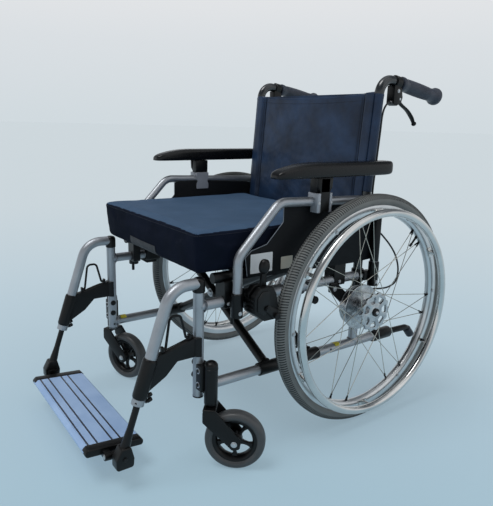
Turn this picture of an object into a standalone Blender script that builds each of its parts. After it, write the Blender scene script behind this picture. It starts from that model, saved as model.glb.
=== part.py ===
"""A folding wheelchair with drum brakes, swing-away legrests and one wide footplate.

Every size is in metres. The pieces are laid out with y 0 at the rear axle, z 0 at the floor and the chair
facing -Y, and one empty then moves them so that the origin is under the middle of the whole chair.
"""

import math

import bpy
import bmesh
from mathutils import Matrix, Vector

# Gaps between pieces
SEAT_GAP = 0.0004
RUN_GAP = 0.0005

# Side frames
FRAME_X = 0.250
TUBE_R = 0.0125
FRONT_POST_Y = -0.474
FRONT_POST_TOP = 0.411
FRONT_POST_FOOT = 0.161
PIVOT_PIN_R = 0.0086
FRONT_POST_R = TUBE_R + 0.0002
LOWER_RAIL_Z = 0.182
LOWER_RAIL_REAR_Y = 0.150
UPPER_RAIL_Z = 0.378
REAR_POST_Y = 0.030
STUB_BELOW_AXLE = 0.043
SLEEVE_R = 0.0165
SLEEVE_BELOW_AXLE = 0.057
SLEEVE_ABOVE_AXLE = 0.040
CLAMP_Z = (0.361, 0.396)
RECEIVER_HALF_H = 0.020
SADDLE_X = (0.2245, 0.2627)
SADDLE_Z = (0.3635, 0.4275)
SADDLES_Y = ((-0.414, -0.392), (-0.070, -0.030))
ARM_SOCKET_R = 0.0142
REAR_SOCKET_Z = (0.351, 0.418)
FRONT_SOCKET_Z = (0.345, 0.402)
LUG_ABOVE_AXLE = 0.043
LUG_BELOW_RAIL = 0.004
KNOB_ARM = ((FRAME_X, -0.158, 0.372), (FRAME_X, -0.142, 0.352), (FRAME_X, -0.128, 0.334))
KNOB_R = 0.0105

# Back posts and push handles
BACK_KNEE_Z = 0.440
BACK_LEAN = 0.0751
GRIP_START = Vector((FRAME_X, 0.139, 0.886))
GRIP_END = Vector((FRAME_X, 0.297, 0.859))
GRIP_R = 0.0175
HANDLE_BEND_R = 0.038

# Seat, on rails that the cross braces carry
SEAT_RAIL_X = 0.240
SEAT_RAIL_Z = 0.433
SEAT_RAIL_FRONT_Y = -0.433
SEAT_RAIL_REAR_Y = 0.004
SLING_T = 0.0016
CUSHION_HALF_W = 0.255
CUSHION_FRONT_Y = -0.485
CUSHION_REAR_Y = 0.0125
CUSHION_TOP = 0.544
CUSHION_CORNER_R = 0.022
CUSHION_LEAST_ARC = 0.006
CUSHION_ARC_STEPS = 3
SLEEVE_FOOT_Z = 0.606
SLEEVE_TOP_Z = 0.850
BACK_Z = (0.452, 0.861)
BACK_HALF_W = 0.2362
BACK_SEAM_X = 0.210

# Cross braces
BRACE_R = 0.0125
BRACE_A_Y = (-0.273, -0.134)
BRACE_B_Y = (-0.245, -0.162)
FRONT_SLEEVE_Y = (-0.302, -0.2315)
REAR_SLEEVE_Y = (-0.189, -0.106)
BRACE_SLEEVE_R = 0.0162
BOLT_R = 0.0045
BOLT_Y = (-0.292, -0.115)
HEADS_Y = (-0.2915, -0.1215)

# Rear wheels: 24 x 1 3/8 inch tyres
WHEEL_R = 0.305
TYRE_DEPTH = 0.036
RIM_DEPTH = 0.017
WHEEL_X = 0.318
TYRE_HALF_W = 0.018
TYRE_BULGE_SHARE = 0.466
TYRE_SHOULDER_SHARE = 0.831
RIM_OUTER_R = WHEEL_R - TYRE_DEPTH
RIM_INNER_R = RIM_OUTER_R - RIM_DEPTH
RIM_HALF_W = 0.013
RIM_WALL_SHARE = 0.53
HAND_RIM_X = 0.360
HAND_RIM_R = RIM_OUTER_R - 0.0065
HAND_RIM_TUBE_R = 0.010
HAND_RIM_TABS = 6
SPOKES_PER_FLANGE = 14
SPOKE_R = 0.0012
SPOKE_OFFSET = 0.0016
WHEEL_FACETS = 32
DRUM_R = 0.0535
DRUM_INNER_X = 0.2705
DRUM_OUTER_X = 0.300
INNER_FLANGE_X = 0.297
INNER_FLANGE_R = 0.061
OUTER_FLANGE_X = 0.346
OUTER_FLANGE_R = 0.052
FLANGE_HALF_T = 0.003
FLANGE_HOLES = 7
FLANGE_HOLES_R = 0.034
HUB_BARREL_R = 0.021
AXLE_R = 0.006
AXLE_HEAD_R = 0.0108
AXLE_HEAD_T = 0.0038
AXLE_Z = WHEEL_R
STUB_TOP = AXLE_Z - STUB_BELOW_AXLE
BRACKET_FACE_X = FRAME_X + SLEEVE_R + 0.0001
# Outlines as y and the height above the axle
REACTION_ARM = (
    (0.000, -0.015),
    (0.012, 0.000),
    (-0.060, 0.064),
    (-0.083, 0.064),
    (-0.083, 0.043),
    (-0.020, -0.013),
)
CABLE_EAR = ((0.030, 0.020), (0.060, 0.026), (0.060, 0.042), (0.036, 0.041))
BRAKE_PLATE_T = 0.0028
BUTTON_R = 0.0042
BUTTON_TRAVEL = 0.004

# Casters
CASTER_X = 0.2845
CASTER_Y = -0.461
CASTER_R = 0.070
CASTER_TRAIL = 0.0575
CASTER_HALF_W = 0.017
CASTER_TYRE_DEPTH = 0.019
CASTER_RIM_R = CASTER_R - CASTER_TYRE_DEPTH
CASTER_RIM_HALF_W = 0.013
CASTER_WEB_HALF_T = 0.006
CASTER_AXLE_R = 0.004
CASTER_STEM_R = 0.006
CASTER_SPOKES = 5
CASTER_FACETS = 20
HOUSING_R = 0.0155
HOUSING_Z = (0.154, 0.259)
FORK_HALF_GAP = 0.022
FORK_LEG_T = 0.004
FORK_CROWN_Z = (0.144, 0.150)
LEFT_CASTER_TURN = math.radians(-41)
RIGHT_CASTER_TURN = math.radians(-67)

# Armrests
ARM_X = 0.2775
ARM_TUBE_R = 0.011
ARM_FRONT_Y = -0.390
ARM_REAR_Y = 0.062
ARM_FOOT_Z = 0.355
ARM_TOP_Z = 0.600
ARM_BRACKET_Y = -0.155
ARM_BRACKET_Z = (0.571, 0.617)
PAD_X = (0.2665, 0.3165)
PAD_Y = (-0.308, 0.066)
PAD_Z = (0.655, 0.690)
# How far along, and the shares of the full width and height there
PAD_STATIONS = (
    (0, 0.45, 0.30),
    (0.005, 0.72, 0.62),
    (0.020, 0.90, 0.86),
    (0.060, 1, 1),
    (0.31, 1, 1),
    (0.360, 0.97, 0.98),
    (0.371, 0.85, 0.80),
    (0.374, 0.6, 0.5),
)
PANEL_X = (0.2632, 0.2661)

# Legrests and footplate
HANGER_TOP_Z = 0.431
HANGER_R = 0.013
HANGER_X = 0.2535
HANGER_DIRECTION = Vector((0, -0.3162, -0.9487))
HANGER_ON_LINE = Vector((HANGER_X, -0.559, 0.387))
HANGER_FOOT_Z = 0.188
HANGER_ARM = (
    (-0.486, 0.309),
    (-0.486, 0.264),
    (-0.532, 0.264),
    (-0.560, 0.236),
    (-0.612, 0.206),
    (-0.600, 0.282),
    (-0.560, 0.290),
    (-0.520, 0.300),
)
STEM_R = 0.0075
STEM_TOP_Z = 0.262
ELBOW = Vector((HANGER_X, -0.6605, 0.082))
ELBOW_OUTLINE = (
    (-0.021, -0.030),
    (0.018, -0.030),
    (0.020, -0.010),
    (0.013, 0.018),
    (-0.008, 0.018),
    (-0.021, -0.006),
)
FOOT_TILT = math.radians(-5)
BOARD_CENTRE = Vector((0, -0.6605, 0.069))
BOARD_HALF_W = 0.194
BOARD_DEPTH = 0.137
BOARD_T = 0.016
END_CAP_X = 0.2070
FOOT_HINGE_X = 0.222
FOOT_HINGE_DROP = 0.005
GROOVE_OFFSETS = (-0.052, -0.031, 0.003, 0.022)

# Where the pieces sit round the origin: half the length in front of it and half behind
FOOTPLATE_FRONT_Y = -0.727
CENTRE_Y = -(FOOTPLATE_FRONT_Y + WHEEL_R) / 2


def finished(bm, name="solid"):
    """Turns a bmesh into a mesh whose faces point outwards."""
    bmesh.ops.recalc_face_normals(bm, faces=bm.faces)
    if bm.calc_volume(signed=True) < 0:
        bmesh.ops.reverse_faces(bm, faces=bm.faces)
    mesh = bpy.data.meshes.new(name)
    bm.to_mesh(mesh)
    bm.free()
    return mesh


def skin(rings, closed=False):
    """A solid through rings of equal numbers of points; a closed one joins its last ring to its first."""
    bm = bmesh.new()
    loops = [[bm.verts.new(point) for point in ring] for ring in rings]
    pairs = list(zip(loops, loops[1:]))
    if closed:
        pairs.append((loops[-1], loops[0]))
    else:
        bm.faces.new(loops[0])
        bm.faces.new(loops[-1])
    for near, far in pairs:
        for i in range(len(near)):
            j = (i + 1) % len(near)
            bm.faces.new((near[i], near[j], far[j], far[i]))
    return finished(bm)


def across(direction):
    """Two unit vectors at right angles to a direction, the first as near to X as it can be."""
    direction = direction.normalized()
    guide = Vector((1, 0, 0)) if abs(direction.x) < 0.9 else Vector((0, 1, 0))
    first = (guide - guide.dot(direction) * direction).normalized()
    return first, direction.cross(first)


def circle(centre, radius, first, second, sides, squash=1.0):
    turns = [2 * math.pi * (i + 0.5) / sides for i in range(sides)]
    return [
        centre + radius * (math.cos(t) * first + squash * math.sin(t) * second)
        for t in turns
    ]


def tube(path, radius, sides=10):
    """A round bar along a path; radius is one size, or one for each point."""
    path = [Vector(point) for point in path]
    radii = [radius] * len(path) if isinstance(radius, float) else radius
    rings = []
    first = None
    for i, point in enumerate(path):
        before = path[max(i - 1, 0)]
        after = path[min(i + 1, len(path) - 1)]
        direction = (after - before).normalized()
        if first is None:
            first, second = across(direction)
        else:
            first = (first - first.dot(direction) * direction).normalized()
            second = direction.cross(first)
        rings.append(circle(point, radii[i], first, second, sides))
    return skin(rings)


def bar(start, end, radius, sides=10):
    return tube([start, end], radius, sides)


def upright(x, y, z, radius, sides):
    """An upright bar between two heights."""
    return bar((x, y, z[0]), (x, y, z[1]), radius, sides)


def rail(y, z):
    """A level tube of a side frame between two distances along it."""
    return bar((FRAME_X, y[0], z), (FRAME_X, y[1], z), TUBE_R)


def hole(start, end, radius, sides=12):
    """A cutter whose flats lie at the radius, so that a round bar of that size clears it all round."""
    return bar(Vector(start), Vector(end), radius / math.cos(math.pi / sides), sides)


def turned(origin, axis, stations, sides=16):
    """A solid of revolution from (distance along the axis, radius) stations."""
    axis = Vector(axis).normalized()
    first, second = across(axis)
    origin = Vector(origin)
    return skin([circle(origin + a * axis, r, first, second, sides) for a, r in stations])


def turned_ring(origin, axis, profile, sides=40):
    """A ring: a closed profile of (distance along the axis, radius) points turned right round."""
    axis = Vector(axis).normalized()
    first, second = across(axis)
    origin = Vector(origin)
    rings = []
    for i in range(sides):
        t = 2 * math.pi * i / sides
        out = math.cos(t) * first + math.sin(t) * second
        rings.append([origin + a * axis + r * out for a, r in profile])
    return skin(rings, closed=True)


def plate(outline, low, high, along="X"):
    """An outline extruded from low to high; it is in (y, z), (x, z) or (x, y) for along X, Y or Z."""
    placed = {
        "X": lambda u, v, w: Vector((w, u, v)),
        "Y": lambda u, v, w: Vector((u, w, v)),
        "Z": lambda u, v, w: Vector((u, v, w)),
    }[along]
    return skin([[placed(u, v, w) for u, v in outline] for w in (low, high)])


def block(x, y, z, bevel=0.0, steps=1):
    """A box between pairs of limits, with its edges rounded."""
    bm = bmesh.new()
    bmesh.ops.create_cube(bm, size=1)
    size = Vector((x[1] - x[0], y[1] - y[0], z[1] - z[0]))
    middle = Vector((x[0] + x[1], y[0] + y[1], z[0] + z[1])) / 2
    bmesh.ops.transform(bm, matrix=Matrix.Translation(middle) @ Matrix.Diagonal((*size, 1)), verts=bm.verts)
    if bevel:
        bmesh.ops.bevel(bm, geom=bm.edges[:], offset=bevel, segments=steps, affect="EDGES", profile=0.5)
    return finished(bm)


def rounded(corners, radius, steps=4):
    """The path through corner points with an arc of the given radius at each inner corner."""
    corners = [Vector(point) for point in corners]
    radii = radius if isinstance(radius, (list, tuple)) else [radius] * (len(corners) - 2)
    path = [corners[0]]
    for before, corner, after, r in zip(corners, corners[1:], corners[2:], radii):
        a = (before - corner).normalized()
        b = (after - corner).normalized()
        half = a.angle(b) / 2
        reach = r / math.tan(half)
        centre = corner + (a + b).normalized() * (r / math.sin(half))
        start = corner + a * reach - centre
        end = corner + b * reach - centre
        sweep = start.angle(end)
        for i in range(steps + 1):
            share = i / steps
            point = (math.sin((1 - share) * sweep) * start + math.sin(share * sweep) * end) / math.sin(sweep)
            path.append(centre + point)
    path.append(corners[-1])
    return path


def rounded_outline(corners, radius, steps=3):
    """A closed outline with an arc at every corner."""
    flat = [Vector((u, v, 0)) for u, v in corners]
    points = []
    for i, corner in enumerate(flat):
        arc = rounded([flat[i - 1], corner, flat[(i + 1) % len(flat)]], radius, steps)[1:-1]
        points.extend((p.x, p.y) for p in arc)
    return points


def moved(mesh, matrix):
    """The same mesh after a change of place."""
    mesh.transform(matrix)
    return mesh


def fuse(solids, cuts=()):
    """One solid from overlapping ones, less the cuts."""
    body = bpy.data.objects.new("body", solids[0])
    bpy.context.collection.objects.link(body)
    helpers = [body]
    for operation, meshes in (("UNION", solids[1:]), ("DIFFERENCE", cuts)):
        for mesh in meshes:
            helper = bpy.data.objects.new("helper", mesh)
            bpy.context.collection.objects.link(helper)
            helpers.append(helper)
            step = body.modifiers.new(operation, "BOOLEAN")
            step.operation = operation
            step.solver = "EXACT"
            step.object = helper
    bpy.context.view_layer.update()
    graph = bpy.context.evaluated_depsgraph_get()
    made = bpy.data.meshes.new_from_object(body.evaluated_get(graph))
    for helper in helpers:
        bpy.data.objects.remove(helper)
    return made


def mirrored(mesh):
    other = mesh.copy()
    other.transform(Matrix.Diagonal((-1, 1, 1, 1)))
    other.flip_normals()
    return other


def material(name, colour, roughness, metallic=0.0):
    made = bpy.data.materials.new(name)
    made.use_nodes = True
    shader = made.node_tree.nodes["Principled BSDF"]
    shader.inputs["Base Color"].default_value = (*colour, 1)
    shader.inputs["Roughness"].default_value = roughness
    shader.inputs["Metallic"].default_value = metallic
    made.diffuse_color = (*colour, 1)
    return made


def add_piece(name, mesh, finish, origin, round_below=35):
    """Puts one piece in the scene with its own origin, smooth where its faces meet at less than an angle."""
    origin = Vector(origin)
    mesh.transform(Matrix.Translation(-origin))
    mesh.materials.clear()
    mesh.materials.append(finish)
    mesh.shade_smooth()
    mesh.set_sharp_from_angle(angle=math.radians(round_below))
    piece = bpy.data.objects.new(name, mesh)
    bpy.context.collection.objects.link(piece)
    piece.parent = bpy.data.objects["chair"]
    piece.location = origin
    return piece


def add_pair(name, mesh, finish, origin, round_below=35):
    """The left piece and its mirror image."""
    x, y, z = origin
    add_piece("right_" + name, mirrored(mesh), finish, (-x, y, z), round_below)
    add_piece("left_" + name, mesh, finish, origin, round_below)


def back_line(z):
    """The y of a back post's centre at a height."""
    if z <= BACK_KNEE_Z:
        return REAR_POST_Y
    return REAR_POST_Y + BACK_LEAN * (z - BACK_KNEE_Z)


def handle_corner():
    """Where the leaning post and the sloping push handle would meet without the bend."""
    slope = (GRIP_END.z - GRIP_START.z) / (GRIP_END.y - GRIP_START.y)
    z = (GRIP_START.z + slope * (back_line(BACK_KNEE_Z) - BACK_LEAN * BACK_KNEE_Z - GRIP_START.y)) / (
        1 - slope * BACK_LEAN
    )
    return Vector((FRAME_X, back_line(z), z))


def side_frame_mesh():
    """Front post, rails, rear stub with the axle sleeve, saddles, armrest sockets and the knob arm."""
    lower = rail((FRONT_POST_Y, LOWER_RAIL_REAR_Y), LOWER_RAIL_Z)
    upper = rail((FRONT_POST_Y, REAR_POST_Y - TUBE_R), UPPER_RAIL_Z)
    front = upright(FRAME_X, FRONT_POST_Y, (FRONT_POST_FOOT, FRONT_POST_TOP), FRONT_POST_R, 12)
    stub = upright(FRAME_X, REAR_POST_Y, (LOWER_RAIL_Z - 0.004, STUB_TOP), FRONT_POST_R, 12)
    sleeve_z = (AXLE_Z - SLEEVE_BELOW_AXLE, AXLE_Z + SLEEVE_ABOVE_AXLE)
    sleeve = upright(FRAME_X, REAR_POST_Y, sleeve_z, SLEEVE_R, 14)
    clamp = upright(FRAME_X, REAR_POST_Y, CLAMP_Z, SLEEVE_R, 14)
    receiver_z = (AXLE_Z - RECEIVER_HALF_H, AXLE_Z + RECEIVER_HALF_H)
    receiver = block((0.236, BRACKET_FACE_X), (-0.016, 0.020), receiver_z)
    rear_socket = upright(ARM_X, ARM_REAR_Y, REAR_SOCKET_Z, ARM_SOCKET_R, 12)
    rear_bridge = block((0.256, 0.274), (0.032, 0.060), (0.366, 0.392))
    front_socket = upright(ARM_X, ARM_FRONT_Y, FRONT_SOCKET_Z, ARM_SOCKET_R, 12)
    front_bridge = block((0.254, 0.276), (-0.401, -0.379), (0.365, 0.393))
    saddles = [block(SADDLE_X, y, SADDLE_Z) for y in SADDLES_Y]
    lug_z = (AXLE_Z + LUG_ABOVE_AXLE, UPPER_RAIL_Z - LUG_BELOW_RAIL)
    lug = block((0.256, BRACKET_FACE_X), (-0.084, -0.060), lug_z)
    knob_arm = tube(KNOB_ARM, 0.006, 6)
    knob_start = Vector(KNOB_ARM[-1]) - Vector((0.010, 0, 0))
    knob = turned(knob_start, (1, 0, 0), [(0, KNOB_R - 0.001), (0.019, KNOB_R), (0.021, KNOB_R - 0.0025)], 10)
    post_bore = TUBE_R + SEAT_GAP
    leg_bore = ARM_TUBE_R + SEAT_GAP
    cuts = [
        hole((FRAME_X, REAR_POST_Y, STUB_TOP), (FRAME_X, REAR_POST_Y, 0.45), post_bore),
        hole((FRAME_X, FRONT_POST_Y, 0.366), (FRAME_X, FRONT_POST_Y, 0.43), PIVOT_PIN_R + SEAT_GAP),
        hole((SEAT_RAIL_X, -0.45, SEAT_RAIL_Z), (SEAT_RAIL_X, 0.02, SEAT_RAIL_Z), post_bore),
        hole((0.20, 0, AXLE_Z), (0.30, 0, AXLE_Z), AXLE_R + SEAT_GAP),
        hole((FRAME_X, 0.100, LOWER_RAIL_Z), (FRAME_X, 0.16, LOWER_RAIL_Z), 0.0100),
        hole((ARM_X, ARM_REAR_Y, 0.340), (ARM_X, ARM_REAR_Y, 0.44), leg_bore),
        hole((ARM_X, ARM_FRONT_Y, 0.340), (ARM_X, ARM_FRONT_Y, 0.41), leg_bore),
    ]
    solids = [front, lower, upper, stub, sleeve, clamp, receiver, rear_bridge, rear_socket]
    solids += [front_bridge, front_socket, *saddles, lug, knob_arm, knob]
    return fuse(solids, cuts)


def back_post_mesh():
    """The rear tube: upright, leaning back, then bent over into the push handle."""
    corners = [
        (FRAME_X, REAR_POST_Y, STUB_TOP + SEAT_GAP),
        (FRAME_X, REAR_POST_Y, BACK_KNEE_Z),
        handle_corner(),
        GRIP_END + 0.05 * (GRIP_START - GRIP_END),
    ]
    return tube(rounded(corners, [0.10, HANDLE_BEND_R], 4), TUBE_R, 10)


def push_grip_mesh():
    along = (GRIP_END - GRIP_START).normalized()
    length = (GRIP_END - GRIP_START).length
    stations = [
        (0, 0.0185),
        (0.010, 0.0190),
        (0.016, GRIP_R),
        (length * 0.45, GRIP_R + 0.0008),
        (length - 0.022, GRIP_R),
        (length - 0.010, 0.0235),
        (length - 0.002, 0.0235),
        (length + 0.001, 0.0190),
    ]
    grip = turned(GRIP_START, along, stations, 12)
    bore = hole(GRIP_START - 0.01 * along, GRIP_START + 0.96 * length * along, TUBE_R + SEAT_GAP)
    return fuse([grip], [bore])


def handle_point(y):
    """A point on the push handle's centre line."""
    share = (y - GRIP_START.y) / (GRIP_END.y - GRIP_START.y)
    return GRIP_START.lerp(GRIP_END, share)


LEVER_PIVOT = Vector((FRAME_X, 0.131, 0.846))
# The blade's centre line as y and z, with its half width and half thickness there
LEVER_BLADE = (
    (0.131, 0.846, 0.0050, 0.0065),
    (0.150, 0.833, 0.0052, 0.0045),
    (0.178, 0.818, 0.0075, 0.0030),
    (0.199, 0.800, 0.0075, 0.0030),
    (0.211, 0.784, 0.0050, 0.0030),
)


def brake_lever_clamp_mesh():
    """The ring on the handle tube with the lever's housing under it."""
    along = (GRIP_END - GRIP_START).normalized()
    start = handle_point(0.114)
    ring = turned(start, along, [(0, 0.0168), (0.020, 0.0168)], 12)
    outline = [(0.106, 0.881), (0.134, 0.876), (0.140, 0.850), (0.136, 0.838), (0.118, 0.828), (0.106, 0.834)]
    housing = plate(rounded_outline(outline, 0.003, 1), FRAME_X - 0.0125, FRAME_X + 0.0125)
    bore = hole(handle_point(0.08), handle_point(0.17), TUBE_R + SEAT_GAP)
    slot = block((FRAME_X - 0.0056, FRAME_X + 0.0056), (0.119, 0.16), (0.80, 0.8585))
    pin = bar((FRAME_X - 0.009, *LEVER_PIVOT.yz), (FRAME_X + 0.009, *LEVER_PIVOT.yz), 0.0025, 8)
    return fuse([fuse([ring, housing], [bore, slot]), pin])


def attendant_brake_lever_mesh():
    """A flat blade from the pivot back under the grip, ending in a ball."""
    blade = [Vector((FRAME_X, y, z)) for y, z, wide, thick in LEVER_BLADE]
    rings = []
    for i, (y, z, wide, thick) in enumerate(LEVER_BLADE):
        before = blade[max(i - 1, 0)]
        after = blade[min(i + 1, len(blade) - 1)]
        first, second = across(after - before)
        rings.append(circle(blade[i], wide, first, second, 8, thick / wide))
    ball_stations = [(0, 0.004), (0.003, 0.0068), (0.008, 0.0068), (0.0115, 0.003)]
    ball = turned((FRAME_X, 0.2085, 0.7885), (0, 0.62, -0.78), ball_stations, 6)
    eye = turned(LEVER_PIVOT - Vector((0.005, 0, 0)), (1, 0, 0), [(0, 0.0072), (0.010, 0.0072)], 10)
    reach = Vector((0.02, 0, 0))
    return fuse([skin(rings), ball, eye], [hole(LEVER_PIVOT - reach, LEVER_PIVOT + reach, 0.0028, 8)])


CABLE_ROUTE = (
    (0.2560, 0.1055, 0.838),
    (0.2570, 0.092, 0.836),
    (0.2555, 0.080, 0.822),
    (0.2545, 0.0745, 0.800),
    (0.2540, 0.0725, 0.760),
    (0.2540, 0.0665, 0.680),
    (0.2540, 0.0615, 0.610),
    (0.2545, 0.0625, 0.560),
    (0.2570, 0.080, 0.509),
    (0.2590, 0.112, 0.480),
    (0.2600, 0.143, 0.452),
    (0.2620, 0.168, 0.421),
    (0.2630, 0.183, 0.388),
    (0.2640, 0.185, 0.361),
    (0.2650, 0.176, 0.340),
    (0.2660, 0.155, 0.331),
    (0.2670, 0.130, 0.329),
    (0.2680, 0.098, 0.332),
    (0.2685, 0.0605, 0.339),
)
CABLE_R = 0.0025


def smooth_route(points, steps):
    """Points along a smooth curve through the given ones."""
    points = [Vector(p) for p in points]
    path = []
    for i in range(len(points) - 1):
        p0, p1, p2, p3 = (points[min(max(i + k, 0), len(points) - 1)] for k in (-1, 0, 1, 2))
        for j in range(steps):
            t = j / steps
            bend = (2 * p0 - 5 * p1 + 4 * p2 - p3) * t**2
            twist = (3 * p1 - p0 - 3 * p2 + p3) * t**3
            path.append(0.5 * (2 * p1 + (p2 - p0) * t + bend + twist))
    path.append(points[-1])
    return path


def brake_cable_mesh():
    return tube(smooth_route(CABLE_ROUTE, 2), CABLE_R, 5)


def caster_housing_mesh():
    """The upright bearing tube with a domed cap and the two-bolt bracket that hugs the front post."""
    low, high = HOUSING_Z
    tall = high - low
    stations = [(0, 0.0150), (0.003, HOUSING_R), (tall - 0.008, HOUSING_R)]
    stations += [(tall - 0.003, 0.0125), (tall, 0.006)]
    barrel = turned((CASTER_X, CASTER_Y, low), (0, 0, 1), stations, 12)
    bracket = block((FRAME_X - 0.002, CASTER_X - 0.006), (-0.484, -0.456), (0.184, 0.246))
    post = hole((FRAME_X, FRONT_POST_Y, 0.1), (FRAME_X, FRONT_POST_Y, 0.3), FRONT_POST_R + SEAT_GAP)
    along = hole((FRAME_X, -0.5, LOWER_RAIL_Z), (FRAME_X, -0.3, LOWER_RAIL_Z), TUBE_R + SEAT_GAP)
    stem = hole((CASTER_X, CASTER_Y, 0.1), (CASTER_X, CASTER_Y, 0.236), CASTER_STEM_R + SEAT_GAP)
    return fuse([barrel, bracket], [post, along, stem])


def caster_fork_mesh():
    """Built with the wheel trailing straight back; the object is then turned about the swivel axis."""
    low, high = FORK_CROWN_Z
    reach = FORK_HALF_GAP + FORK_LEG_T
    crown_x = (CASTER_X - reach, CASTER_X + reach)
    crown = block(crown_x, (CASTER_Y - 0.015, CASTER_Y + 0.015), (low, high), 0.0015)
    axle_y = CASTER_Y + CASTER_TRAIL
    outline = [
        (CASTER_Y - 0.015, high - 0.002),
        (CASTER_Y + 0.015, high - 0.002),
        (axle_y + 0.016, CASTER_R + 0.010),
        (axle_y + 0.013, CASTER_R - 0.012),
        (axle_y - 0.004, CASTER_R - 0.016),
        (axle_y - 0.016, CASTER_R - 0.004),
        (CASTER_Y - 0.015, 0.118),
    ]
    legs = [
        plate(rounded_outline(outline, 0.004, 1), CASTER_X + x, CASTER_X + x + FORK_LEG_T)
        for x in (FORK_HALF_GAP, -reach)
    ]
    stem_stations = [(0, 0.009), (0.0055, 0.009), (0.0058, CASTER_STEM_R), (0.084, CASTER_STEM_R)]
    stem = turned((CASTER_X, CASTER_Y, high - 0.002), (0, 0, 1), stem_stations, 12)
    half = reach + 0.003
    axle = bar((CASTER_X - half, axle_y, CASTER_R), (CASTER_X + half, axle_y, CASTER_R), CASTER_AXLE_R, 8)
    heads = turned((CASTER_X - reach - 0.0035, axle_y, CASTER_R), (1, 0, 0), [(0, 0.006), (0.004, 0.006)], 6)
    nuts = turned((CASTER_X + reach - 0.0005, axle_y, CASTER_R), (1, 0, 0), [(0, 0.006), (0.004, 0.006)], 6)
    return fuse([crown, *legs, stem, axle, heads, nuts])


def caster_rim_mesh():
    """A moulded wheel centre: hub, thin web with rounded three-cornered windows, and the seat for the tyre."""
    centre = (CASTER_X, CASTER_Y + CASTER_TRAIL, CASTER_R)
    half = FORK_HALF_GAP - RUN_GAP
    profile = [
        (-half, CASTER_AXLE_R + 0.0006),
        (-half, CASTER_AXLE_R + 0.008),
        (-CASTER_WEB_HALF_T, CASTER_AXLE_R + 0.011),
        (-CASTER_WEB_HALF_T, CASTER_RIM_R - 0.011),
        (-CASTER_RIM_HALF_W, CASTER_RIM_R),
        (CASTER_RIM_HALF_W, CASTER_RIM_R),
        (CASTER_WEB_HALF_T, CASTER_RIM_R - 0.011),
        (CASTER_WEB_HALF_T, CASTER_AXLE_R + 0.011),
        (half, CASTER_AXLE_R + 0.008),
        (half, CASTER_AXLE_R + 0.0006),
    ]
    wheel = turned_ring(centre, (1, 0, 0), profile, CASTER_FACETS)
    windows = []
    wide = math.radians(23)
    for i in range(CASTER_SPOKES):
        turn = 2 * math.pi * i / CASTER_SPOKES
        top = CASTER_RIM_R - 0.013
        low = CASTER_AXLE_R + 0.0145
        narrow = 0.16
        corners = [(turn - wide, top), (turn, top + 0.001), (turn + wide, top)]
        corners += [(turn + narrow, low), (turn - narrow, low)]
        outline = [(centre[1] + r * math.cos(t), centre[2] + r * math.sin(t)) for t, r in corners]
        windows.append(plate(outline, CASTER_X - 0.02, CASTER_X + 0.02))
    return fuse([wheel], windows)


def caster_tyre_mesh():
    centre = (CASTER_X, CASTER_Y + CASTER_TRAIL, CASTER_R)
    w = CASTER_HALF_W
    profile = [
        (-w + 0.003, CASTER_RIM_R + SEAT_GAP),
        (-w, CASTER_R - 0.010),
        (-0.007, CASTER_R),
        (0.007, CASTER_R),
        (w, CASTER_R - 0.010),
        (w - 0.003, CASTER_RIM_R + SEAT_GAP),
    ]
    return turned_ring(centre, (1, 0, 0), profile, CASTER_FACETS)


def wheel_tyre_mesh():
    w = TYRE_HALF_W
    seat = RIM_OUTER_R + SEAT_GAP
    bulge = seat + TYRE_BULGE_SHARE * (WHEEL_R - seat)
    shoulder = seat + TYRE_SHOULDER_SHARE * (WHEEL_R - seat)
    profile = [
        (-0.012, seat),
        (-w, bulge),
        (-w + 0.005, shoulder),
        (-0.005, WHEEL_R),
        (0.005, WHEEL_R),
        (w - 0.005, shoulder),
        (w, bulge),
        (0.012, seat),
    ]
    return turned_ring((WHEEL_X, 0, AXLE_Z), (1, 0, 0), profile, WHEEL_FACETS)


def wheel_rim_mesh():
    w = RIM_HALF_W
    wall = RIM_OUTER_R - RIM_WALL_SHARE * (RIM_OUTER_R - RIM_INNER_R)
    profile = [
        (-w, RIM_OUTER_R),
        (-w, wall),
        (-0.006, RIM_INNER_R),
        (0.006, RIM_INNER_R),
        (w, wall),
        (w, RIM_OUTER_R),
    ]
    return turned_ring((WHEEL_X, 0, AXLE_Z), (1, 0, 0), profile, WHEEL_FACETS)


def hand_rim_mesh():
    """The push ring and the tabs that hold it off the rim."""
    turns = [2 * math.pi * (i + 0.5) / 6 for i in range(6)]
    profile = [(HAND_RIM_TUBE_R * math.cos(t), HAND_RIM_R + HAND_RIM_TUBE_R * math.sin(t)) for t in turns]
    ring = turned_ring((HAND_RIM_X, 0, AXLE_Z), (1, 0, 0), profile, WHEEL_FACETS)
    tabs = []
    for i in range(HAND_RIM_TABS):
        t = 2 * math.pi * i / HAND_RIM_TABS
        out = Vector((0, math.cos(t), math.sin(t)))
        start = Vector((WHEEL_X + RIM_HALF_W + SEAT_GAP, 0, AXLE_Z)) + HAND_RIM_R * out
        end = Vector((HAND_RIM_X - 0.004, 0, AXLE_Z)) + HAND_RIM_R * out
        tabs.append(tube([start, end], [0.0055, 0.0045], 5))
    return fuse([ring, *tabs])


def around_axle(x, radius, turn):
    """A point at a distance and a turn round the rear axle."""
    return Vector((x, radius * math.cos(turn), AXLE_Z + radius * math.sin(turn)))


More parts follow.
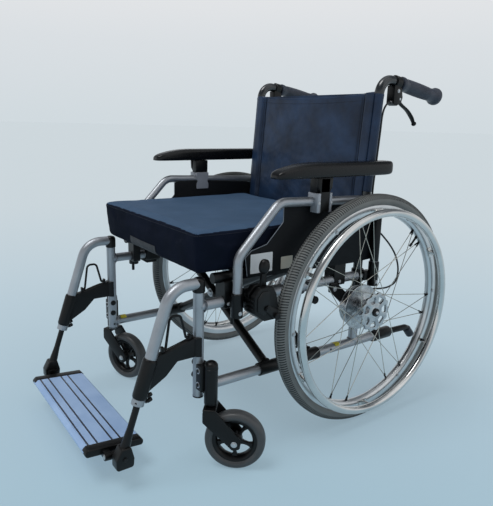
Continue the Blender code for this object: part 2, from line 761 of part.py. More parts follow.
def spoke_meshes(flange_x, hole_r, half_turn):
    """The crossed spokes of one flange, led alternately forwards and backwards from either face of it."""
    meshes = []
    step = 2 * math.pi / SPOKES_PER_FLANGE
    lead = 2.5 * step
    side = 1 if flange_x > WHEEL_X else -1
    for i in range(SPOKES_PER_FLANGE):
        way = 1 if i % 2 else -1
        hub_turn = i * step + half_turn
        rim_turn = hub_turn + way * lead
        rim_r = RIM_INNER_R * math.cos(math.pi / WHEEL_FACETS) - 0.0007
        start = around_axle(flange_x + way * SPOKE_OFFSET, hole_r, hub_turn)
        end = around_axle(WHEEL_X + side * 0.0035 + way * SPOKE_OFFSET, rim_r, rim_turn)
        meshes.append(bar(start, end, SPOKE_R, 3))
    return meshes


def wheel_hub_mesh():
    """The hub: a brake drum open to the frame, two spoke flanges, the barrel and the spokes."""
    profile = [
        (DRUM_INNER_X, DRUM_R),
        (INNER_FLANGE_X - FLANGE_HALF_T, DRUM_R),
        (INNER_FLANGE_X - FLANGE_HALF_T, INNER_FLANGE_R),
        (INNER_FLANGE_X + FLANGE_HALF_T, INNER_FLANGE_R),
        (INNER_FLANGE_X + FLANGE_HALF_T, 0.050),
        (0.306, HUB_BARREL_R),
        (OUTER_FLANGE_X - FLANGE_HALF_T, HUB_BARREL_R),
        (OUTER_FLANGE_X - FLANGE_HALF_T, OUTER_FLANGE_R),
        (OUTER_FLANGE_X + FLANGE_HALF_T, OUTER_FLANGE_R),
        (OUTER_FLANGE_X + FLANGE_HALF_T, AXLE_R + 0.0005),
        (0.290, AXLE_R + 0.0005),
        (0.290, 0.047),
        (DRUM_INNER_X, 0.047),
    ]
    hub = turned_ring((0, 0, AXLE_Z), (1, 0, 0), profile, 20)
    step = math.pi / SPOKES_PER_FLANGE
    spokes = spoke_meshes(INNER_FLANGE_X, INNER_FLANGE_R - 0.003, 0.0)
    spokes += spoke_meshes(OUTER_FLANGE_X, OUTER_FLANGE_R - 0.004, step)
    holes = []
    for i in range(FLANGE_HOLES):
        turn = 2 * math.pi * i / FLANGE_HOLES + 0.11
        place = around_axle(OUTER_FLANGE_X - 2 * FLANGE_HALF_T, FLANGE_HOLES_R, turn)
        holes.append(turned(place, (1, 0, 0), [(0, 0.0075), (0.02, 0.0075)], 6))
    return fuse([hub, *spokes], holes)


def brake_plate_mesh():
    """The fixed back of the drum brake with its shoe carrier and the arm that takes the braking force."""
    x = BRACKET_FACE_X + SEAT_GAP
    disc = turned((x, 0, AXLE_Z), (1, 0, 0), [(0, 0.050), (BRAKE_PLATE_T, 0.050)], 18)
    shoes = turned((x + 0.0010, 0, AXLE_Z), (1, 0, 0), [(0, 0.042), (0.0165, 0.042)], 14)
    arm_outline = rounded_outline([(y, AXLE_Z + above) for y, above in REACTION_ARM], 0.004, 2)
    arm = plate(arm_outline, x, x + BRAKE_PLATE_T)
    bolt = turned((x, -0.072, AXLE_Z + 0.054), (1, 0, 0), [(0, 0.006), (0.005, 0.006)], 6)
    ear = plate([(y, AXLE_Z + above) for y, above in CABLE_EAR], x, x + BRAKE_PLATE_T)
    bore = hole((0.2, 0, AXLE_Z), (0.4, 0, AXLE_Z), AXLE_R + SEAT_GAP)
    return fuse([disc, shoes, arm, bolt, ear], [bore])


def wheel_axle_mesh():
    """The quick-release axle with a ring head that the button sits in."""
    face = OUTER_FLANGE_X + FLANGE_HALF_T + RUN_GAP
    stations = [
        (0.232, AXLE_R - 0.002),
        (0.235, AXLE_R),
        (face, AXLE_R),
        (face + 0.0002, AXLE_HEAD_R),
        (face + 0.0030, AXLE_HEAD_R),
        (face + AXLE_HEAD_T, AXLE_HEAD_R - 0.001),
    ]
    axle = turned((0, 0, AXLE_Z), (1, 0, 0), stations, 12)
    pocket = hole((face - 0.008, 0, AXLE_Z), (face + 0.02, 0, AXLE_Z), BUTTON_R + SEAT_GAP, 10)
    return fuse([axle], [pocket])


def quick_release_button_mesh():
    face = OUTER_FLANGE_X + FLANGE_HALF_T + RUN_GAP + AXLE_HEAD_T
    top = face + BUTTON_TRAVEL
    stations = [(face - 0.0070, BUTTON_R), (top - 0.001, BUTTON_R), (top, BUTTON_R - 0.001)]
    return turned((0, 0, AXLE_Z), (1, 0, 0), stations, 10)


BRAKE_PIVOT = Vector((0.3005, -0.338, 0.402))
BRAKE_HOUSING = (
    (-0.372, 0.360),
    (-0.372, 0.400),
    (-0.356, 0.418),
    (-0.322, 0.418),
    (-0.312, 0.400),
    (-0.306, 0.372),
    (-0.312, 0.340),
    (-0.345, 0.340),
)
SHOE_R = 0.0078
SHOE_GAP = 0.0048
SHOE_RISE = math.radians(7.964)


def parking_brake_body_mesh():
    """The clamp on the upper rail, the housing with the lever's slot, and the arm with the tyre shoe."""
    clamp = block((0.2335, 0.284), (-0.368, -0.322), (0.3605, 0.3955))
    housing = plate(rounded_outline(BRAKE_HOUSING, 0.004, 1), 0.280, 0.322)
    shoe_start = around_axle(0.299, WHEEL_R + SHOE_GAP + SHOE_R, math.pi - SHOE_RISE)
    shoe = bar(shoe_start, shoe_start + Vector((0.035, 0, 0)), SHOE_R, 10)
    slot = block((BRAKE_PIVOT.x - 0.0046, BRAKE_PIVOT.x + 0.0046), (-0.40, -0.30), (0.386, 0.45))
    bore = hole((FRAME_X, -0.5, UPPER_RAIL_Z), (FRAME_X, 0.0, UPPER_RAIL_Z), TUBE_R + SEAT_GAP)
    half = Vector((0.010, 0, 0))
    pin = bar(BRAKE_PIVOT - half, BRAKE_PIVOT + half, 0.003, 8)
    return fuse([fuse([clamp, housing, shoe], [slot, bore]), pin])


def parking_brake_lever_mesh():
    """A flat lever in the housing's slot with an oval handle."""
    x, y, z = BRAKE_PIVOT
    outline = [(y - 0.009, z - 0.009), (y + 0.009, z - 0.009), (y + 0.010, z + 0.054), (y - 0.002, z + 0.054)]
    arm = plate(rounded_outline(outline, 0.004, 1), x - 0.004, x + 0.004)
    stations = [(0, 0.006), (0.004, 0.0095), (0.012, 0.0115), (0.024, 0.0108), (0.031, 0.0075), (0.033, 0.004)]
    knob_axis = Vector((0, 0.12, 1)).normalized()
    first, second = across(knob_axis)
    start = Vector((x + 0.001, y + 0.002, z + 0.044))
    knob = skin([circle(start + a * knob_axis, r, first, second, 10, 1.15) for a, r in stations])
    return fuse([arm, knob], [hole((x - 0.02, y, z), (x + 0.02, y, z), 0.003 + SEAT_GAP, 8)])


def armrest_tube_mesh():
    """The bent armrest tube with two plug-in legs and the bracket that the pad's post slides in."""
    corners = [
        (ARM_X, ARM_FRONT_Y, ARM_FOOT_Z - 0.002),
        (ARM_X, ARM_FRONT_Y, 0.483),
        (ARM_X, -0.277, ARM_TOP_Z),
        (ARM_X, ARM_REAR_Y, ARM_TOP_Z - 0.012),
        (ARM_X, ARM_REAR_Y, ARM_FOOT_Z),
    ]
    frame = tube(rounded(corners, [0.040, 0.045, 0.032], 3), ARM_TUBE_R, 10)
    low, high = ARM_BRACKET_Z
    y = ARM_BRACKET_Y
    bracket = block((0.272, 0.2995), (y - 0.024, y + 0.024), (low, high), 0.0015)
    slot = block((0.2889, 0.31), (y - 0.0118, y + 0.0118), (low - 0.01, high + 0.01))
    return fuse([frame, bracket], [slot])


def armrest_post_mesh():
    y = ARM_BRACKET_Y
    low = ARM_BRACKET_Z[0] + 0.001
    top = PAD_Z[0] - SEAT_GAP
    blade = block((0.2893, 0.2985), (y - 0.0114, y + 0.0114), (low, top - 0.002), 0.001)
    outline = [
        (y - 0.024, top),
        (y + 0.024, top),
        (y + 0.022, 0.630),
        (y + 0.012, 0.6185),
        (y - 0.012, 0.6185),
        (y - 0.022, 0.630),
    ]
    shoulder = plate(rounded_outline(outline, 0.002, 1), 0.2893, 0.2985)
    return fuse([blade, shoulder])


def arm_pad_mesh():
    """A moulded pad with a rounded, tapering front end."""
    rings = []
    middle = (PAD_X[0] + PAD_X[1]) / 2
    half = (PAD_X[1] - PAD_X[0]) / 2
    for along, wide, tall in PAD_STATIONS:
        height = PAD_Z[1] - PAD_Z[0]
        top = PAD_Z[1] - 0.004 * (1 - tall)
        bottom = top - height * (0.40 + 0.60 * tall) if along < 0.1 else top - height * tall
        bottom = max(bottom, PAD_Z[0])
        w = half * wide
        edge = 0.008 * tall
        section = [
            (-w, bottom + edge * 0.6), (-w + edge, bottom), (w - edge, bottom), (w, bottom + edge * 0.6),
            (w, top - edge), (w - edge, top - 0.001), (0, top), (-w + edge, top - 0.001), (-w, top - edge),
        ]
        rings.append([Vector((middle + u, PAD_Y[0] + along, v)) for u, v in section])
    return skin(rings)


def side_panel_mesh():
    """The clothing guard between the armrest's legs."""
    outline = [
        (-0.254, 0.592), (-0.254, 0.551), (-0.301, 0.503), (-0.345, 0.492), (-0.363, 0.478), (-0.356, 0.432),
        (-0.30, 0.426), (0.000, 0.420), (0.078, 0.424), (0.090, 0.440), (0.090, 0.520), (0.076, 0.560),
        (0.050, 0.576), (0.020, 0.582), (-0.155, 0.592),
    ]
    return plate(rounded_outline(outline, 0.004, 1), *PANEL_X)


def hanger_point(z):
    """The point on the straight part of a legrest at a height."""
    reach = (z - HANGER_ON_LINE.z) / HANGER_DIRECTION.z
    return HANGER_ON_LINE + reach * HANGER_DIRECTION


def legrest_hanger_mesh():
    """The legrest tube with its pivot pin, clamp sleeve and arm, and the jaw that catches the front post."""
    start = Vector((FRAME_X, FRONT_POST_Y + 0.004, HANGER_TOP_Z))
    corner = hanger_point(HANGER_TOP_Z)
    corners = [start, Vector((HANGER_X, corner.y, corner.z)), hanger_point(HANGER_FOOT_Z)]
    frame = tube(rounded(corners, 0.055, 4), HANGER_R, 10)
    cap_foot = (FRAME_X, FRONT_POST_Y, FRONT_POST_TOP + SEAT_GAP)
    cap = turned(cap_foot, (0, 0, 1), [(0, 0.0142), (0.026, 0.0142), (0.033, 0.0095)], 12)
    pin = bar((FRAME_X, FRONT_POST_Y, 0.370), (FRAME_X, FRONT_POST_Y, 0.42), PIVOT_PIN_R, 12)
    sleeve_line = [hanger_point(z) for z in (0.283, 0.278, 0.206, 0.200)]
    sleeve = tube(sleeve_line, [0.0148, 0.0165, 0.0165, 0.0150], 10)
    ferrule = tube([hanger_point(0.199), hanger_point(0.1855)], [0.0142, 0.0142], 10)
    arm = plate(rounded_outline(HANGER_ARM, 0.003, 1), FRAME_X - 0.0075, FRAME_X + 0.0090)
    jaw = bar((FRAME_X, FRONT_POST_Y, 0.264), (FRAME_X, FRONT_POST_Y, 0.309), 0.0175, 14)
    post = hole((FRAME_X, FRONT_POST_Y, 0.25), (FRAME_X, FRONT_POST_Y, 0.33), FRONT_POST_R + SEAT_GAP, 14)
    behind = block((0.2, 0.3), (FRONT_POST_Y - 0.001, FRONT_POST_Y + 0.03), (0.25, 0.33))
    knob_at = hanger_point(0.199) + Vector((0, 0.012, 0))
    knobs = [
        bar(knob_at + Vector((0.004, 0, dz)), knob_at + Vector((0.004, 0.016, dz + 0.005)), 0.0045, 6)
        for dz in (0.001, -0.0105)
    ]
    bore_top = hanger_point(STEM_TOP_Z + 0.075)
    bore = hole(hanger_point(HANGER_FOOT_Z - 0.02), bore_top, STEM_R + SEAT_GAP, 10)
    lugs, lug_bores = loop_lug_meshes()
    held = fuse([arm, jaw, *lugs], [post, behind, *lug_bores])
    return fuse([frame, cap, pin, sleeve, ferrule, held, *knobs], [bore])


LOOP_FEET = (Vector((FRAME_X, -0.556, 0.2975)), Vector((FRAME_X, -0.506, 0.3105)))
LOOP_LINE = (LOOP_FEET[1] - LOOP_FEET[0]).normalized()
LOOP_R = 0.003
LUG_START = 0.0055
LUG_END = 0.0115


def release_loop_mesh():
    """A bent rod that unlocks the legrest; its two ends are turned outwards into the lugs of the arm."""
    front, rear = LOOP_FEET
    reach = (LUG_END - RUN_GAP) * LOOP_LINE
    corners = [front - reach, front, (FRAME_X, -0.546, 0.366), (FRAME_X, -0.520, 0.366), rear, rear + reach]
    return tube(rounded(corners, [0.004, 0.010, 0.010, 0.004], 3), LOOP_R, 6)


def loop_lug_meshes():
    """The two lugs on the legrest's arm, and the cutters of the bores that the rod turns in."""
    lugs = []
    bores = []
    for foot, way, low in ((LOOP_FEET[0], -1, 0.281), (LOOP_FEET[1], 1, 0.299)):
        near = foot + way * LUG_START * LOOP_LINE
        far = foot + way * LUG_END * LOOP_LINE
        y = sorted((near.y, far.y))
        lugs.append(block((FRAME_X - 0.0055, FRAME_X + 0.0055), y, (low, near.z + 0.0060)))
        bores.append(hole(foot, foot + way * 0.02 * LOOP_LINE, LOOP_R + SEAT_GAP, 8))
    return lugs, bores


TO_BOARD = Matrix.Translation(BOARD_CENTRE)
FOOT_TURN = TO_BOARD @ Matrix.Rotation(FOOT_TILT, 4, "X") @ TO_BOARD.inverted()


def tilted(mesh):
    """Tips a footplate piece so that the front edge is the higher one."""
    return moved(mesh, FOOT_TURN)


FOOT_HINGE = Vector((FOOT_HINGE_X, BOARD_CENTRE.y, BOARD_CENTRE.z - FOOT_HINGE_DROP))
EAR_Y = (0.0145, 0.030)


def elbow_mesh():
    """The wedge clamp at the foot of a legrest."""
    outline = [(ELBOW.y + y, ELBOW.z + z) for y, z in ELBOW_OUTLINE]
    return plate(rounded_outline(outline, 0.004, 2), 0.2405, 0.2690)


def stem_solids():
    foot = hanger_point(0.090)
    line = [hanger_point(STEM_TOP_Z), hanger_point(0.135), hanger_point(0.112), foot]
    slide = tube(line, [STEM_R, STEM_R, 0.0095, 0.0115], 10)
    return [slide, elbow_mesh()]


def left_stem_mesh():
    """The telescoping stem with the barrel that the footplate turns on."""
    hinge = FOOT_HINGE
    barrel = tilted(bar(hinge - Vector((0, 0.0135, 0)), hinge + Vector((0, 0.0135, 0)), 0.009, 12))
    neck_y = (hinge.y - 0.0125, hinge.y + 0.0125)
    neck = tilted(block((FOOT_HINGE_X + 0.003, 0.246), neck_y, (hinge.z - 0.0075, hinge.z + 0.0065)))
    bore = tilted(hole(hinge - Vector((0, 0.05, 0)), hinge + Vector((0, 0.05, 0)), 0.0045 + SEAT_GAP, 10))
    return fuse([*stem_solids(), neck, barrel], [bore])


def right_stem_mesh():
    """The other stem, with an open shelf that the footplate's free end rests on."""
    centre = BOARD_CENTRE
    under = centre.z - BOARD_T / 2 - 0.001 - SEAT_GAP
    shelf_y = (centre.y - 0.018, centre.y + 0.018)
    shelf = tilted(block((-0.246, -0.188), shelf_y, (under - 0.008, under), 0.0015))
    post_y = (centre.y - 0.014, centre.y + 0.014)
    post = tilted(block((-0.258, -0.236), post_y, (under - 0.007, under + 0.016), 0.0015))
    return fuse([*(mirrored(mesh) for mesh in stem_solids()), post, shelf])


def footplate_mesh():
    """A grooved board with a rounded nose, end caps, and two ears round the hinge pin."""
    cy, cz = BOARD_CENTRE.y, BOARD_CENTRE.z
    half, t = BOARD_DEPTH / 2, BOARD_T / 2
    outline = [
        (cy - half + 0.010, cz + t),
        (cy + half - 0.006, cz + t),
        (cy + half, cz + t - 0.006),
        (cy + half, cz - t),
        (cy - half + 0.008, cz - t),
        (cy - half, cz - 0.002),
    ]
    board = plate(rounded_outline(outline, 0.003, 2), -BOARD_HALF_W, BOARD_HALF_W)
    wide = [(cy + (y - cy) * 1.012, cz + (z - cz) * 1.12) for y, z in rounded_outline(outline, 0.005, 2)]
    caps = [plate(wide, *sorted((side * (BOARD_HALF_W - 0.012), side * END_CAP_X))) for side in (1, -1)]
    hinge = FOOT_HINGE
    ears = []
    for side in (1, -1):
        y = sorted((hinge.y + side * EAR_Y[0], hinge.y + side * EAR_Y[1]))
        ears.append(bar((hinge.x, y[0], hinge.z), (hinge.x, y[1], hinge.z), 0.009, 10))
        ears.append(block((0.202, hinge.x), y, (hinge.z - 0.006, hinge.z + 0.0085)))
    pin = bar((hinge.x, hinge.y - 0.028, hinge.z), (hinge.x, hinge.y + 0.028, hinge.z), 0.0045, 10)
    grooves = [
        block((-0.30, 0.30), (cy + g - 0.0022, cy + g + 0.0022), (cz + t - 0.0022, cz + t + 0.01))
        for g in GROOVE_OFFSETS
    ]
    board = fuse([board], grooves)
    return tilted(fuse([board, *caps, *ears, pin]))


def tipping_lever_mesh():
    """The step tube plugged on the rear of the lower rail, with a rubber foot."""
    z = LOWER_RAIL_Z
    clamp_stations = [(0, 0.0158), (0.002, 0.0168), (0.070, 0.0168), (0.077, 0.0125)]
    clamp = turned((FRAME_X, 0.108, z), (0, 1, 0), clamp_stations, 12)
    path = rounded([(FRAME_X, 0.170, z), (FRAME_X, 0.264, 0.178), (FRAME_X, 0.288, 0.151)], 0.018, 3)
    foot_ends = ((0.270, 0.1713), (0.274, 0.1668), (0.288, 0.151), (0.290, 0.1488))
    foot = tube([(FRAME_X, y, z) for y, z in foot_ends], [0.0105, 0.0120, 0.0120, 0.0100], 8)
    bore = hole((FRAME_X, 0.09, z), (FRAME_X, LOWER_RAIL_REAR_Y + SEAT_GAP, z), TUBE_R + SEAT_GAP)
    return fuse([clamp, tube(path, 0.009, 8), foot], [bore])


def cross_brace_mesh(side, tubes_y, pin):
    """Two tubes from sleeves on the lower rail of one side to the seat rail of the other."""
    foot = Vector((side * FRAME_X, 0, LOWER_RAIL_Z))
    head = Vector((-side * SEAT_RAIL_X, 0, SEAT_RAIL_Z))
    rail_ends = [head + Vector((0, y, 0)) for y in (SEAT_RAIL_FRONT_Y, SEAT_RAIL_REAR_Y)]
    solids = [bar(*rail_ends, TUBE_R, 12)]
    for y in tubes_y:
        solids.append(bar(foot + Vector((0, y, 0)), head + Vector((0, y, 0)), BRACE_R - 0.0004, 10))
    for y in (FRONT_SLEEVE_Y, REAR_SLEEVE_Y):
        solids.append(bar(foot + Vector((0, y[0], 0)), foot + Vector((0, y[1], 0)), BRACE_SLEEVE_R, 14))
    cuts = [hole(foot + Vector((0, -0.4, 0)), foot, TUBE_R + SEAT_GAP, 14)]
    middle = crossing()
    ends = [middle + Vector((0, y, 0)) for y in BOLT_Y]
    if not pin:
        cuts.append(hole(*ends, BOLT_R + SEAT_GAP, 10))
        return fuse(solids, cuts)
    heads = [turned(middle + Vector((0, y, 0)), (0, 1, 0), [(0, 0.009), (0.006, 0.009)], 6) for y in HEADS_Y]
    return fuse([fuse(solids, cuts), bar(*ends, BOLT_R, 10), *heads])


def crossing():
    """The centre of the bolt that the braces turn on, at y 0."""
    slope = (SEAT_RAIL_Z - LOWER_RAIL_Z) / (FRAME_X + SEAT_RAIL_X)
    return Vector((0, 0, LOWER_RAIL_Z + slope * FRAME_X))


def seat_sling_mesh():
    """The fabric seat: a loop over each seat rail and the sagging span between them."""
    outer = TUBE_R + SEAT_GAP + SLING_T
    inner = TUBE_R + SEAT_GAP
    section = []
    lower = []
    for i in range(9):
        x = -SEAT_RAIL_X + 2 * SEAT_RAIL_X * i / 8
        share = x / SEAT_RAIL_X
        sag = 0.012 * (1 - share**2)
        section.append((x, SEAT_RAIL_Z + outer - sag))
        lower.append((x, SEAT_RAIL_Z + inner - sag))
    right = []
    right_in = []
    for i in range(1, 5):
        t = math.pi / 2 - i * math.radians(33)
        right.append((SEAT_RAIL_X + outer * math.cos(t), SEAT_RAIL_Z + outer * math.sin(t)))
        right_in.append((SEAT_RAIL_X + inner * 1.03 * math.cos(t), SEAT_RAIL_Z + inner * 1.03 * math.sin(t)))
    left = [(-x, z) for x, z in right]
    left_in = [(-x, z) for x, z in right_in]
    outline = left[::-1] + section + right + right_in[::-1] + lower[::-1] + left_in
    return plate(outline, -0.384, -0.076, "Y")


def cushion_ring(inset, z, drawn_in):
    """One level of the cushion: a rectangle with arcs at its corners and sides drawn in between them."""
    half_d = (CUSHION_REAR_Y - CUSHION_FRONT_Y) / 2
    middle = (CUSHION_REAR_Y + CUSHION_FRONT_Y) / 2
    arc = max(CUSHION_CORNER_R - inset, CUSHION_LEAST_ARC)
    reach_x = CUSHION_HALF_W - inset
    reach_y = half_d - inset
    points = []
    for cx, cy, start in ((1, 1, 0), (-1, 1, 90), (-1, -1, 180), (1, -1, 270)):
        for i in range(CUSHION_ARC_STEPS + 1):
            t = math.radians(start + 90 * i / CUSHION_ARC_STEPS)
            x = cx * (reach_x - arc) + arc * math.cos(t)
            y = cy * (reach_y - arc) + arc * math.sin(t)
            points.append(Vector((x, middle + y, z)))
        if cx == cy:
            points.append(Vector((0, middle + cy * (reach_y - drawn_in), z)))
        else:
            points.append(Vector((cx * (reach_x - drawn_in), middle, z)))
    return points


def seat_cushion_mesh():
    """The box cushion: drawn-in side walls, rounded upper and lower edges, a crown, and a belly that sags."""
    bottom = SEAT_RAIL_Z + TUBE_R + SEAT_GAP + SLING_T + RUN_GAP
    top = CUSHION_TOP
    levels = [
        (0.130, bottom - 0.0035, 0),
        (0.070, bottom - 0.0025, 0),
        (0.016, bottom, 0),
        (0.006, bottom + 0.004, 0),
        (0.001, bottom + 0.016, 0.001),
        (0.003, (bottom + top) / 2, 0.003),
        (0.001, top - 0.022, 0.001),
        (0.004, top - 0.010, 0),
        (0.014, top - 0.0035, 0),
        (0.050, top - 0.0010, 0),
        (0.120, top, 0),
    ]
    return skin([cushion_ring(*level) for level in levels])


def back_upholstery_mesh():
    """The back: a padded panel with drawn-in seams, and a sleeve round each back post."""
    bottom, top = BACK_Z
    half = [0.075, 0.150, BACK_SEAM_X - 0.012, BACK_SEAM_X, BACK_SEAM_X + 0.012, BACK_HALF_W]
    xs = [-x for x in half[::-1]] + [0] + half
    zs = [0, 0.03, 0.10, 0.25, 0.42, 0.60, 0.78, 0.92, 0.975, 1.0]

    def front(x, share):
        z = bottom + (top - bottom) * share
        seam = math.exp(-(((abs(x) - BACK_SEAM_X) / 0.007) ** 2))
        belly = max(0.0, 1 - (x / (BACK_SEAM_X - 0.005)) ** 2) ** 0.5
        rise = math.sin(math.pi * min(max(share, 0.0), 1.0)) ** 0.4
        return back_line(z) - 0.0115 - 0.0075 * belly * rise + 0.004 * seam

    bm = bmesh.new()
    near = []
    far = []
    for share in zs:
        row_near = []
        row_far = []
        for x in xs:
            sag = 0.009 * max(0.0, 1 - (x / BACK_HALF_W) ** 2) * share
            z = bottom + (top - bottom) * share - sag
            pinch = 0.006 if share in (0, 1.0) else 0.0
            row_near.append(bm.verts.new((x, front(x, share) + pinch, z)))
            row_far.append(bm.verts.new((x, back_line(z) + 0.0065 - pinch * 0.6, z)))
        near.append(row_near)
        far.append(row_far)
    ny, nx = len(zs) - 1, len(xs) - 1
    for j in range(ny):
        for i in range(nx):
            bm.faces.new((near[j][i], near[j][i + 1], near[j + 1][i + 1], near[j + 1][i]))
            bm.faces.new((far[j][i], far[j + 1][i], far[j + 1][i + 1], far[j][i + 1]))
    rim = [(j, 0) for j in range(ny)] + [(ny, i) for i in range(nx)]
    rim += [(j, nx) for j in range(ny, 0, -1)] + [(0, i) for i in range(nx, 0, -1)]
    for (ja, ia), (jb, ib) in zip(rim, rim[1:] + rim[:1]):
        bm.faces.new((near[ja][ia], far[ja][ia], far[jb][ib], near[jb][ib]))
    solids = [finished(bm)]
    cuts = []
    for side in (1, -1):
        low = Vector((side * FRAME_X, back_line(SLEEVE_FOOT_Z), SLEEVE_FOOT_Z))
        high = Vector((side * FRAME_X, back_line(SLEEVE_TOP_Z), SLEEVE_TOP_Z))
        solids.append(bar(low, high, 0.0146, 14))
        lean = (high - low).normalized()
        cuts.append(hole(low - 0.05 * lean, high + 0.05 * lean, TUBE_R + SEAT_GAP, 12))
    return fuse(solids, cuts)


def add_frame(finishes):
    add_pair("side_frame", side_frame_mesh(), finishes["silver"], (FRAME_X, FRONT_POST_Y, FRONT_POST_FOOT))
    add_pair("back_post", back_post_mesh(), finishes["dark_metal"], (FRAME_X, REAR_POST_Y, STUB_TOP))
    add_pair("push_grip", push_grip_mesh(), finishes["rubber"], GRIP_START)
    add_pair("brake_lever_clamp", brake_lever_clamp_mesh(), finishes["plastic"], handle_point(0.124))
    add_pair("attendant_brake_lever", attendant_brake_lever_mesh(), finishes["plastic"], LEVER_PIVOT)
    add_pair("brake_cable", brake_cable_mesh(), finishes["cable"], CABLE_ROUTE[0])
    add_pair("parking_brake_body", parking_brake_body_mesh(), finishes["plastic"], BRAKE_PIVOT)
    add_pair("parking_brake_lever", parking_brake_lever_mesh(), finishes["plastic"], BRAKE_PIVOT)
    rail_end = (FRAME_X, LOWER_RAIL_REAR_Y, LOWER_RAIL_Z)
    add_pair("tipping_lever", tipping_lever_mesh(), finishes["plastic"], rail_end)


def add_wheels(finishes):
    hub_centre = (WHEEL_X, 0, AXLE_Z)
    add_pair("wheel_tyre", wheel_tyre_mesh(), finishes["tyre"], hub_centre)
    add_pair("wheel_rim", wheel_rim_mesh(), finishes["bright"], hub_centre)
    add_pair("wheel_hub", wheel_hub_mesh(), finishes["bright"], hub_centre)
    add_pair("hand_rim", hand_rim_mesh(), finishes["bright"], hub_centre)
    add_pair("brake_plate", brake_plate_mesh(), finishes["dark_metal"], (BRACKET_FACE_X, 0, AXLE_Z))
    add_pair("wheel_axle", wheel_axle_mesh(), finishes["steel"], (BRACKET_FACE_X, 0, AXLE_Z))
    button_at = (OUTER_FLANGE_X, 0, AXLE_Z)
    add_pair("quick_release_button", quick_release_button_mesh(), finishes["steel"], button_at)


def add_casters(finishes):
    """The casters trail the way they were left standing, so each side is turned by its own angle."""
    swivel = (CASTER_X, CASTER_Y, CASTER_R)
    add_pair("caster_housing", caster_housing_mesh(), finishes["plastic"], (CASTER_X, CASTER_Y, HOUSING_Z[0]))
    for name, mesh, finish in (
        ("caster_fork", caster_fork_mesh(), "plastic"),
        ("caster_rim", caster_rim_mesh(), "plastic"),
        ("caster_tyre", caster_tyre_mesh(), "tyre"),
    ):
        add_pair(name, mesh, finishes[finish], swivel)
        bpy.data.objects["left_" + name].rotation_euler.z = LEFT_CASTER_TURN
        bpy.data.objects["right_" + name].rotation_euler.z = RIGHT_CASTER_TURN


def add_armrests(finishes):
    add_pair("armrest_tube", armrest_tube_mesh(), finishes["silver"], (ARM_X, ARM_FRONT_Y, ARM_FOOT_Z))
    add_pair("armrest_post", armrest_post_mesh(), finishes["plastic"], (0.294, ARM_BRACKET_Y, ARM_BRACKET_Z[0]))
    add_pair("arm_pad", arm_pad_mesh(), finishes["plastic"], (0.2875, ARM_BRACKET_Y, PAD_Z[0]))
    add_pair("side_panel", side_panel_mesh(), finishes["fabric"], (PANEL_X[0], ARM_BRACKET_Y, 0.50))


def add_legrests(finishes):
    post = (FRAME_X, FRONT_POST_Y, FRONT_POST_TOP)
    add_pair("legrest_hanger", legrest_hanger_mesh(), finishes["silver"], post)
    add_pair("release_loop", release_loop_mesh(), finishes["plastic"], LOOP_FEET[0])
    right_foot = (-ELBOW.x, ELBOW.y, ELBOW.z)
    add_piece("left_footrest_stem", left_stem_mesh(), finishes["plastic"], ELBOW)
    add_piece("right_footrest_stem", right_stem_mesh(), finishes["plastic"], right_foot)
    add_piece("footplate", footplate_mesh(), finishes["blue_aluminium"], FOOT_TURN @ FOOT_HINGE)


def add_seat(finishes):
    foot = (FRAME_X, 0, LOWER_RAIL_Z)
    add_piece("cross_brace_a", cross_brace_mesh(1, BRACE_A_Y, True), finishes["black_metal"], foot)
    add_piece("cross_brace_b", cross_brace_mesh(-1, BRACE_B_Y, False), finishes["black_metal"], crossing())
    add_piece("seat_sling", seat_sling_mesh(), finishes["fabric"], (0, -0.23, SEAT_RAIL_Z))
    add_piece("seat_cushion", seat_cushion_mesh(), finishes["fabric"], (0, -0.23, SEAT_RAIL_Z))
    add_piece("back_upholstery", back_upholstery_mesh(), finishes["fabric"], (0, REAR_POST_Y, 0.45))


def main():
    for old in list(bpy.data.objects):
        bpy.data.objects.remove(old)
    chair = bpy.data.objects.new("chair", None)
    bpy.context.collection.objects.link(chair)
    chair.location = (0, CENTRE_Y, 0)
    finishes = {
        "silver": material("satin_silver_tube", (0.62, 0.63, 0.64), 0.38, 1.0),
        "bright": material("polished_aluminium", (0.78, 0.79, 0.80), 0.18, 1.0),
        "steel": material("zinc_plated_steel", (0.55, 0.56, 0.58), 0.30, 1.0),
        "dark_metal": material("dark_grey_tube", (0.10, 0.105, 0.115), 0.42, 0.6),
        "black_metal": material("black_coated_tube", (0.02, 0.02, 0.022), 0.45, 0.2),
        "blue_aluminium": material("blue_grey_anodised", (0.45, 0.50, 0.57), 0.35, 1.0),
        "plastic": material("black_moulded_plastic", (0.018, 0.018, 0.02), 0.5),
        "rubber": material("black_rubber", (0.015, 0.015, 0.015), 0.75),
        "cable": material("black_cable_cover", (0.02, 0.02, 0.02), 0.5),
        "tyre": material("grey_tyre_rubber", (0.20, 0.21, 0.22), 0.8),
        "fabric": material("black_nylon", (0.02, 0.024, 0.032), 0.85),
    }
    add_frame(finishes)
    add_wheels(finishes)
    add_casters(finishes)
    add_armrests(finishes)
    add_legrests(finishes)
    add_seat(finishes)


main()
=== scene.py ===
"""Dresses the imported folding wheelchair: fine parts, soft goods and finishes round the fixed frame.

Sizes are in metres. The pieces are drawn with y 0 at the rear axle, z 0 at the floor and the chair facing -Y,
and place() shifts each finished mesh so that the origin comes under the middle of the chair. A pair is drawn
once, for the sitter's left, and mirrored for the right.
"""

import logging
import math
from dataclasses import dataclass
from enum import Enum
from typing import Sequence

import bmesh
import bpy
import numpy as np
from mathutils import Matrix, Vector, noise
from mathutils.bvhtree import BVHTree


